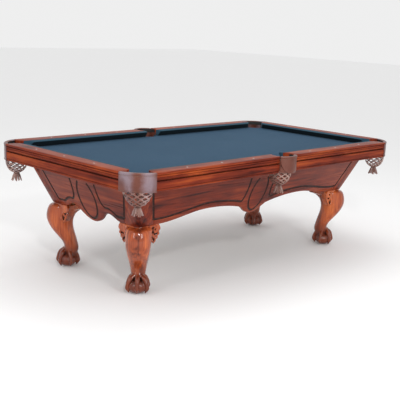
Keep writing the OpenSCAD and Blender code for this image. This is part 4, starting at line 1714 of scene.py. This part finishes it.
@dataclass
class Pockets(Assembly):
    """Leather shields with rolled, stitched rims, and laced bags with fringes below them."""

    thick: float = 0.005
    rim: float = 0.021
    lace: float = 0.0070
    strands: int = 18
    cells: int = 9
    girth: float = 0.066

    def mouths(self) -> tuple[Mouth, Mouth]:
        """The corner pocket at +X +Y and the side pocket at +Y.

        Returns:
            The corner pocket and the side pocket.
        """
        plan = self.plan
        end = plan.corner_end
        chord = plan.corner_cut / math.sqrt(2)
        radius = 0.206
        back = math.sqrt(radius**2 - chord**2) / math.sqrt(2)
        circle = ((end[0] + plan.rail_x) / 2 - back, (end[1] + plan.rail_y) / 2 - back)
        corner = Mouth(circle, radius, math.degrees(math.asin(chord / radius)) - 0.12,
                       plan.corner_net, 45.0, 0.080)
        bulge = 0.042
        side_radius = (plan.side_cut**2 + bulge**2) / (2 * bulge)
        spread = math.degrees(math.asin((plan.side_cut - HAIR) / side_radius))
        net = (0.0, plan.side_hole[1] + 0.006)
        side = Mouth((0.0, plan.rail_y + bulge - side_radius), side_radius, spread, net, 90.0,
                     0.064)
        return corner, side

    def build(self) -> None:
        """Build one corner pocket and one side pocket, and copy them round the table."""
        corner, side = self.mouths()
        leather, net = self.leather("corner_leather", corner, False), self.net("corner_net", corner)
        for name, (sx, sy) in QUARTERS.items():
            self.set_in(leather, net, name, mirrored(sx, sy))
        side_leather, side_net = self.leather("side_leather", side,
                                              True), self.net("side_net", side)
        for name, sy in (("side_back", 1), ("side_front", -1)):
            self.set_in(side_leather, side_net, name, mirrored(1, sy))
        discard(leather, net, side_leather, side_net)

    def set_in(self, leather: Obj, net: Obj, name: str, turn: Matrix) -> None:
        """Copy a leather and a net into place and dress them."""
        shield = copy(leather, f"leather_{name}_stitched", turn)
        self.dress(shield, (LEATHER, STITCH), "pocket_leather", f"leather_{name}")
        bag = copy(net, f"net_{name}_laced", turn)
        self.dress(bag, LACE, "net_leather", f"net_{name}")

    def spun(self, name: str, section: Sequence[Pair], mouth: Mouth, steps: int) -> Obj:
        """Spin a section, drawn as (radius, height), round a pocket's circle.

        Args:
            name: the piece's name.
            section: the outline of the leather's edge.
            mouth: the pocket.
            steps: how many steps the spin takes.

        Returns:
            The closed band.
        """
        cx, cy = mouth.circle
        start = math.radians(mouth.facing + mouth.spread)
        outline = [(cx + r * math.cos(start), cy + r * math.sin(start), z) for r, z in section]
        obj = line(name, outline, filled=True)
        with editing(obj, Kind.FACE):
            select_everything()
            bpy.ops.mesh.spin(
                steps=steps, angle=math.radians(2 * mouth.spread), center=(cx, cy, 0.0),
                axis=(0.0, 0.0, 1.0)
            )
        return outward(obj)

    def leather(self, name: str, mouth: Mouth, shield: bool) -> Obj:
        """A leather: a stiff band with a rolled rim, and stitches along its seams.

        Args:
            name: the piece's name.
            mouth: the pocket.
            shield: whether the band narrows to a rounded foot.

        Returns:
            The leather with its stitches.
        """
        plan, r = self.plan, mouth.radius
        top, low = plan.rail_top, plan.blind_bottom
        section = [
            (r - 0.0048, low), (r - 0.0018, low), (r - 0.0004, low + 0.0025), (r, low + 0.030),
            (r + 0.0006, low + 0.060), (r, top - 0.0200), (r - 0.0006, top - 0.0150),
            (r + 0.0022, top - 0.0110),
            (r + 0.0030, top - 0.0065),
            (r + 0.0014, top - 0.0024), (r - 0.0030, top - 0.0003), (r - 0.0100, top),
            (r - 0.0170, top - 0.0006), (r - 0.0205, top - 0.0028), (r - 0.0210, top - 0.0056),
            (r - 0.0180, top - 0.0051),
            (r - 0.0052, top - 0.0051),
            (r - 0.0050, top - 0.0300),
        ]
        obj = self.spun(name, section, mouth, 36 if not shield else 32)
        if shield:
            half = plan.side_cut
            foot = [(half, 0.84), (half, 0.772), (0.0745, 0.752), (0.069, 0.732), (0.060, 0.714),
                    (0.048, 0.701), (0.033, 0.6935), (0.016, 0.6905), (0.0, low - 0.002)]
            outline = [*foot, *((-x, z) for x, z in foot[-2::-1])]
            tool = board("shield", [(x, 0.5, z) for x, z in outline], (0.0, 0.4, 0.0))
            carve(obj, tool, Cut.KEEP)
            face, back, foot, head = r - 0.0048, r - 0.0070, low + 0.005, top - 0.026
            lining = self.spun("lining", [(back, foot), (face, foot), (face, head), (back, head)],
                               mouth, 24)
            flaps = []
            for side in (-1, 1):
                x, front, rear = side * (plan.side_cut
                                         - 0.0020), plan.rail_y + 0.0022, plan.rail_y - 0.080
                gusset = [(rear, foot), (front - 0.012, foot), (front, low + 0.030), (front, head),
                          (rear, head)]
                flaps.append(board("flap", [(x, y, z) for y, z in gusset],
                                   (-side * 0.0025, 0.0, 0.0)))
            obj = join(name, [obj, lining, *flaps])
        ease_edges(obj, 0.0007, 60)
        obj.data.materials.clear()
        obj.data.materials.append(LEATHER.material())
        stitches = join("stitches", self.stitches(mouth, shield))
        stitches.data.materials.append(STITCH.material())
        return smooth(join(name, [obj, stitches]), 40.0)

    def stitches(self, mouth: Mouth, shield: bool) -> list[Obj]:
        """Stitches under the rim and along the foot of a leather.

        Args:
            mouth: the pocket.
            shield: whether its leather narrows to a rounded foot.

        Returns:
            One rod for each stitch.
        """
        top, low = self.plan.rail_top, self.plan.blind_bottom
        cx, cy = mouth.circle
        pitch, length = 0.0078, 0.0050
        found = []
        seams = [(top - 0.0172, mouth.spread - 1.2)]
        if not shield:
            seams.append((low + 0.0065, mouth.spread - 1.2))
        for height, spread in seams:
            radius = mouth.radius + 0.0004
            count = int(2 * math.radians(spread) * radius / pitch)
            for k in range(count + 1):
                middle = math.radians(mouth.facing - spread + 2 * spread * k / count)
                turn = length / 2 / radius
                ends = [
                    (cx + (radius + lift) * math.cos(a), cy + (radius + lift) * math.sin(a), height)
                    for a,
                    lift in ((middle - turn, -0.0004), (middle, 0.0004), (middle + turn, -0.0004))
                ]
                found.append(rod("stitch", ends, 0.0006, 0))
        return found

    def mouth_radius(self, mouth: Mouth, angle: float) -> float:
        """Distance from the net's middle to its mouth at an angle from the way it faces.

        Args:
            mouth: the pocket.
            angle: the angle from the way it faces.

        Returns:
            The distance.
        """
        ahead = math.hypot(mouth.net[0] - mouth.circle[0], mouth.net[1] - mouth.circle[1])
        inner = mouth.radius - self.thick - 0.0035
        c, s = math.cos(angle), math.sin(angle)
        to_leather = -ahead * c + math.sqrt(max(inner**2 - (ahead * s) ** 2, 0.0))
        side_limit = mouth.half_width / max(abs(s), 1e-6)
        back = 0.0625
        if c <= 0:
            share = min(1.0, -c * 1.6)
            return min(side_limit, back + (mouth.half_width - back) * (1 - share))
        return min(to_leather, side_limit)

    def net(self, name: str, mouth: Mouth) -> Obj:
        """A laced bag: a diamond lattice from the leather to a bound neck, with a fringe below.

        Args:
            name: the piece's name.
            mouth: the pocket.

        Returns:
            The bag.
        """
        top = self.plan.blind_bottom + 0.007
        profile = ((1.0, top), (0.98, top - 0.030), (0.90, top - 0.058), (0.62, top - 0.081),
                   (0.22, top - 0.093))
        unit = self.girth
        bag = line(name, [(s * unit, 0.0, z) for s, z in profile])
        with editing(bag):
            select_everything()
            bpy.ops.mesh.spin(steps=self.cells, angle=2 * math.pi, center=(0, 0, 0), axis=(0, 0, 1))
            select_everything()
            bpy.ops.mesh.remove_doubles(threshold=WELD)
            mesh = bmesh.from_edit_mesh(bag.data)
            weave = {tuple(sorted(v.index for v in edge.verts)) for edge in mesh.edges
                     if not edge.is_boundary}
            bpy.ops.mesh.poke()
            mesh = bmesh.from_edit_mesh(bag.data)
            bpy.ops.mesh.select_mode(type="EDGE")
            bpy.ops.mesh.select_all(action="DESELECT")
            for edge in mesh.edges:
                edge.select_set(tuple(sorted(v.index for v in edge.verts)) in weave)
            bmesh.update_edit_mesh(bag.data)
            bpy.ops.mesh.dissolve_edges(use_verts=False)
            mesh = bmesh.from_edit_mesh(bag.data)
            facing = math.radians(mouth.facing)
            for vert in mesh.verts:
                share = min(1.0, max(0.0, (vert.co.z - (top - 0.070)) / 0.060))
                share = share * share * (3 - 2 * share)
                angle = math.atan2(vert.co.y, vert.co.x)
                grow = 1 + (self.mouth_radius(mouth, angle) / unit - 1) * share
                flat = Vector((vert.co.x * grow, vert.co.y * grow, 0.0))
                flat.rotate(Matrix.Rotation(facing, 3, "Z"))
                vert.co = (flat.x + mouth.net[0], flat.y + mouth.net[1], vert.co.z)
            bmesh.update_edit_mesh(bag.data)
        modify(bag, "WIREFRAME", thickness=self.lace, use_even_offset=False, use_boundary=True,
               use_replace=True,
               offset=-1.0)
        modify(bag, "SUBSURF", levels=1, render_levels=1)
        neck = top - 0.094
        bind = self.ring("neck", mouth.net, 0.0165, neck, 0.0038)
        hem = self.hem(mouth, top)
        return smooth(join(name, [bag, hem, bind, *self.fringe(mouth.net, neck)]), 60.0)

    def hem(self, mouth: Mouth, height: float) -> Obj:
        """The cord round a bag's mouth.

        Args:
            mouth: the pocket.
            height: the height of the bag's mouth.

        Returns:
            The cord.
        """
        turns = [2 * math.pi * k / 40 for k in range(40)]
        facing = math.radians(mouth.facing)
        points = []
        for a in turns:
            r = self.mouth_radius(mouth, math.atan2(math.sin(a), math.cos(a))) - 0.001
            points.append((mouth.net[0] + r * math.cos(a + facing),
                           mouth.net[1] + r * math.sin(a + facing), height - 0.003))
        return rod("hem", points, 0.0030, 1, closed=True)

    def ring(self, name: str, middle: Pair, radius: float, height: float, cord: float) -> Obj:
        """A cord bound round a neck."""
        bpy.ops.mesh.primitive_torus_add(
            major_radius=radius, minor_radius=cord, major_segments=28, minor_segments=10,
            location=(middle[0], middle[1], height),
        )
        return made(name)

    def fringe(self, middle: Pair, neck: float) -> list[Obj]:
        """Leather tails that hang from the neck and flare a little.

        Args:
            middle: the neck's middle.
            neck: the neck's height.

        Returns:
            The tails.
        """
        tails = []
        for k in range(self.strands):
            a = 2 * math.pi * k / self.strands
            spread = 0.0300 + 0.0035 * math.sin(2.3 * k)
            drop = 0.0520 + 0.0035 * math.cos(1.7 * k)
            bend = a + 0.10 * math.sin(3.1 * k)
            points = [
                (middle[0] + r * math.cos(t), middle[1] + r * math.sin(t), neck - z)
                for r, t,
                z in ((0.0130, a, -0.003), (0.0165, a, 0.012), (0.0230, bend, drop * 0.55),
                      (spread, bend, drop))
            ]
            tails.append(rod("tail", points, (0.0026, 0.0034, 0.0040, 0.0034), 0))
        return tails


# ---- What lies underneath -------------------------------------------------------------------


@dataclass
class Underside(Assembly):
    """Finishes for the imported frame, slates, irons and fasteners, which keep their own shapes."""

    def build(self) -> None:
        """Give every remaining node its material."""
        jobs: dict[str, Finish] = {
            "corner_blocks": TIMBER_UPRIGHT, "side_beam_front": TIMBER_ALONG,
            "side_beam_back": TIMBER_ALONG,
            "end_beam_left": TIMBER_ACROSS, "end_beam_right": TIMBER_ACROSS,
            "cross_beam_left": TIMBER_ACROSS,
            "cross_beam_right": TIMBER_ACROSS, "middle_beams": TIMBER_ALONG, "slate_left": SLATE,
            "slate_middle": SLATE, "slate_right": SLATE, "slate_screws": STEEL, "rail_bolts": STEEL,
            "leg_bolts": STEEL, "pocket_irons": IRON,
        }
        for name, finish in jobs.items():
            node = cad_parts[name]
            for slot in node.material_slots:
                slot.material = finish.material()
            if not node.material_slots:
                node.data.materials.append(finish.material())
            LOG.info("%s: %s", name, finish.name)


# ---- Studio ---------------------------------------------------------------------------------


@dataclass
class Studio:
    """A pale floor, soft lights and the camera."""

    eye: Point = (-3.9711, -3.8078, 1.5886)
    yaw: float = 44.26
    pitch: float = -12.37
    roll: float = 2.53
    lens: float = 73.17

    def build(self) -> None:
        """Lay the floor, hang the lights and stand the camera."""
        self.floor()
        self.light("left_strip", (-5.3, -0.7, 2.1), (-1.0, -0.5, 0.6), 26.0, (0.5, 1.7))
        self.light("right_strip", (-1.3, -4.9, 2.1), (-1.0, -0.5, 0.6), 56.0, (0.5, 1.7))
        self.light("key", (-3.6, -4.4, 3.4), (-0.4, -0.4, 0.4), 84.0, (0.4, 0.4))
        self.light("over", (0.8, 0.6, 3.6), (0.0, 0.0, 0.7), 26.0, (2.6, 1.2))
        self.sky()
        self.camera()
        bpy.context.scene.view_settings.view_transform = "Standard"

    def floor(self) -> None:
        """A plain pale floor."""
        bpy.ops.mesh.primitive_plane_add(size=60.0)
        floor = made("floor")
        g = Graph("floor_pale")
        floor.data.materials.append(
            g.shade(base_color=rgb(0.93, 0.93, 0.93), roughness=0.9, specular_ior_level=0.1)
        )

    def light(self, name: str, place: Point, aim: Point, power: float, size: Pair) -> None:
        """One soft rectangular light.

        Args:
            name: the light's name.
            place: where it hangs.
            aim: what it points at.
            power: its watts.
            size: its two sides.
        """
        bpy.ops.object.light_add(type="AREA", location=place)
        lamp = bpy.context.object
        lamp.name = name
        lamp.data.shape = "RECTANGLE"
        lamp.data.size, lamp.data.size_y = size
        lamp.data.energy = power
        lamp.rotation_euler = (Vector(aim) - Vector(place)).to_track_quat("-Z", "Y").to_euler()

    def sky(self) -> None:
        """A plain pale world."""
        world = bpy.data.worlds.new("studio")
        world.use_nodes = True
        world.node_tree.nodes["Background"].inputs["Color"].default_value = rgb(1.0, 1.0, 1.0)
        world.node_tree.nodes["Background"].inputs["Strength"].default_value = 0.86
        bpy.context.scene.world = world

    def camera(self) -> None:
        """The camera, at the height of a standing viewer near the table's corner."""
        yaw, pitch, roll = (math.radians(a) for a in (self.yaw, self.pitch, self.roll))
        ahead = Vector((math.cos(pitch) * math.cos(yaw), math.cos(pitch) * math.sin(yaw),
                        math.sin(pitch)))
        bpy.ops.object.camera_add(location=self.eye)
        camera = bpy.context.object
        camera.name = "camera"
        camera.rotation_mode = "QUATERNION"
        turn = ahead.to_track_quat("-Z", "Y")
        camera.rotation_quaternion = turn @ Matrix.Rotation(roll, 4, "Z").to_quaternion()
        camera.data.lens = self.lens
        camera.data.clip_end = 200.0
        bpy.context.scene.camera = camera


def main() -> None:
    """Build every sub-assembly in order and report each piece."""
    logging.basicConfig(level=logging.INFO, format="%(name)s %(message)s", force=True)
    plan = Plan.from_frame()
    for part in (CabrioleLegs, Cabinet, Rails, Bed, Pockets, Underside):
        part(plan).build()
    Studio().build()


if __name__ == "__main__":
    main()
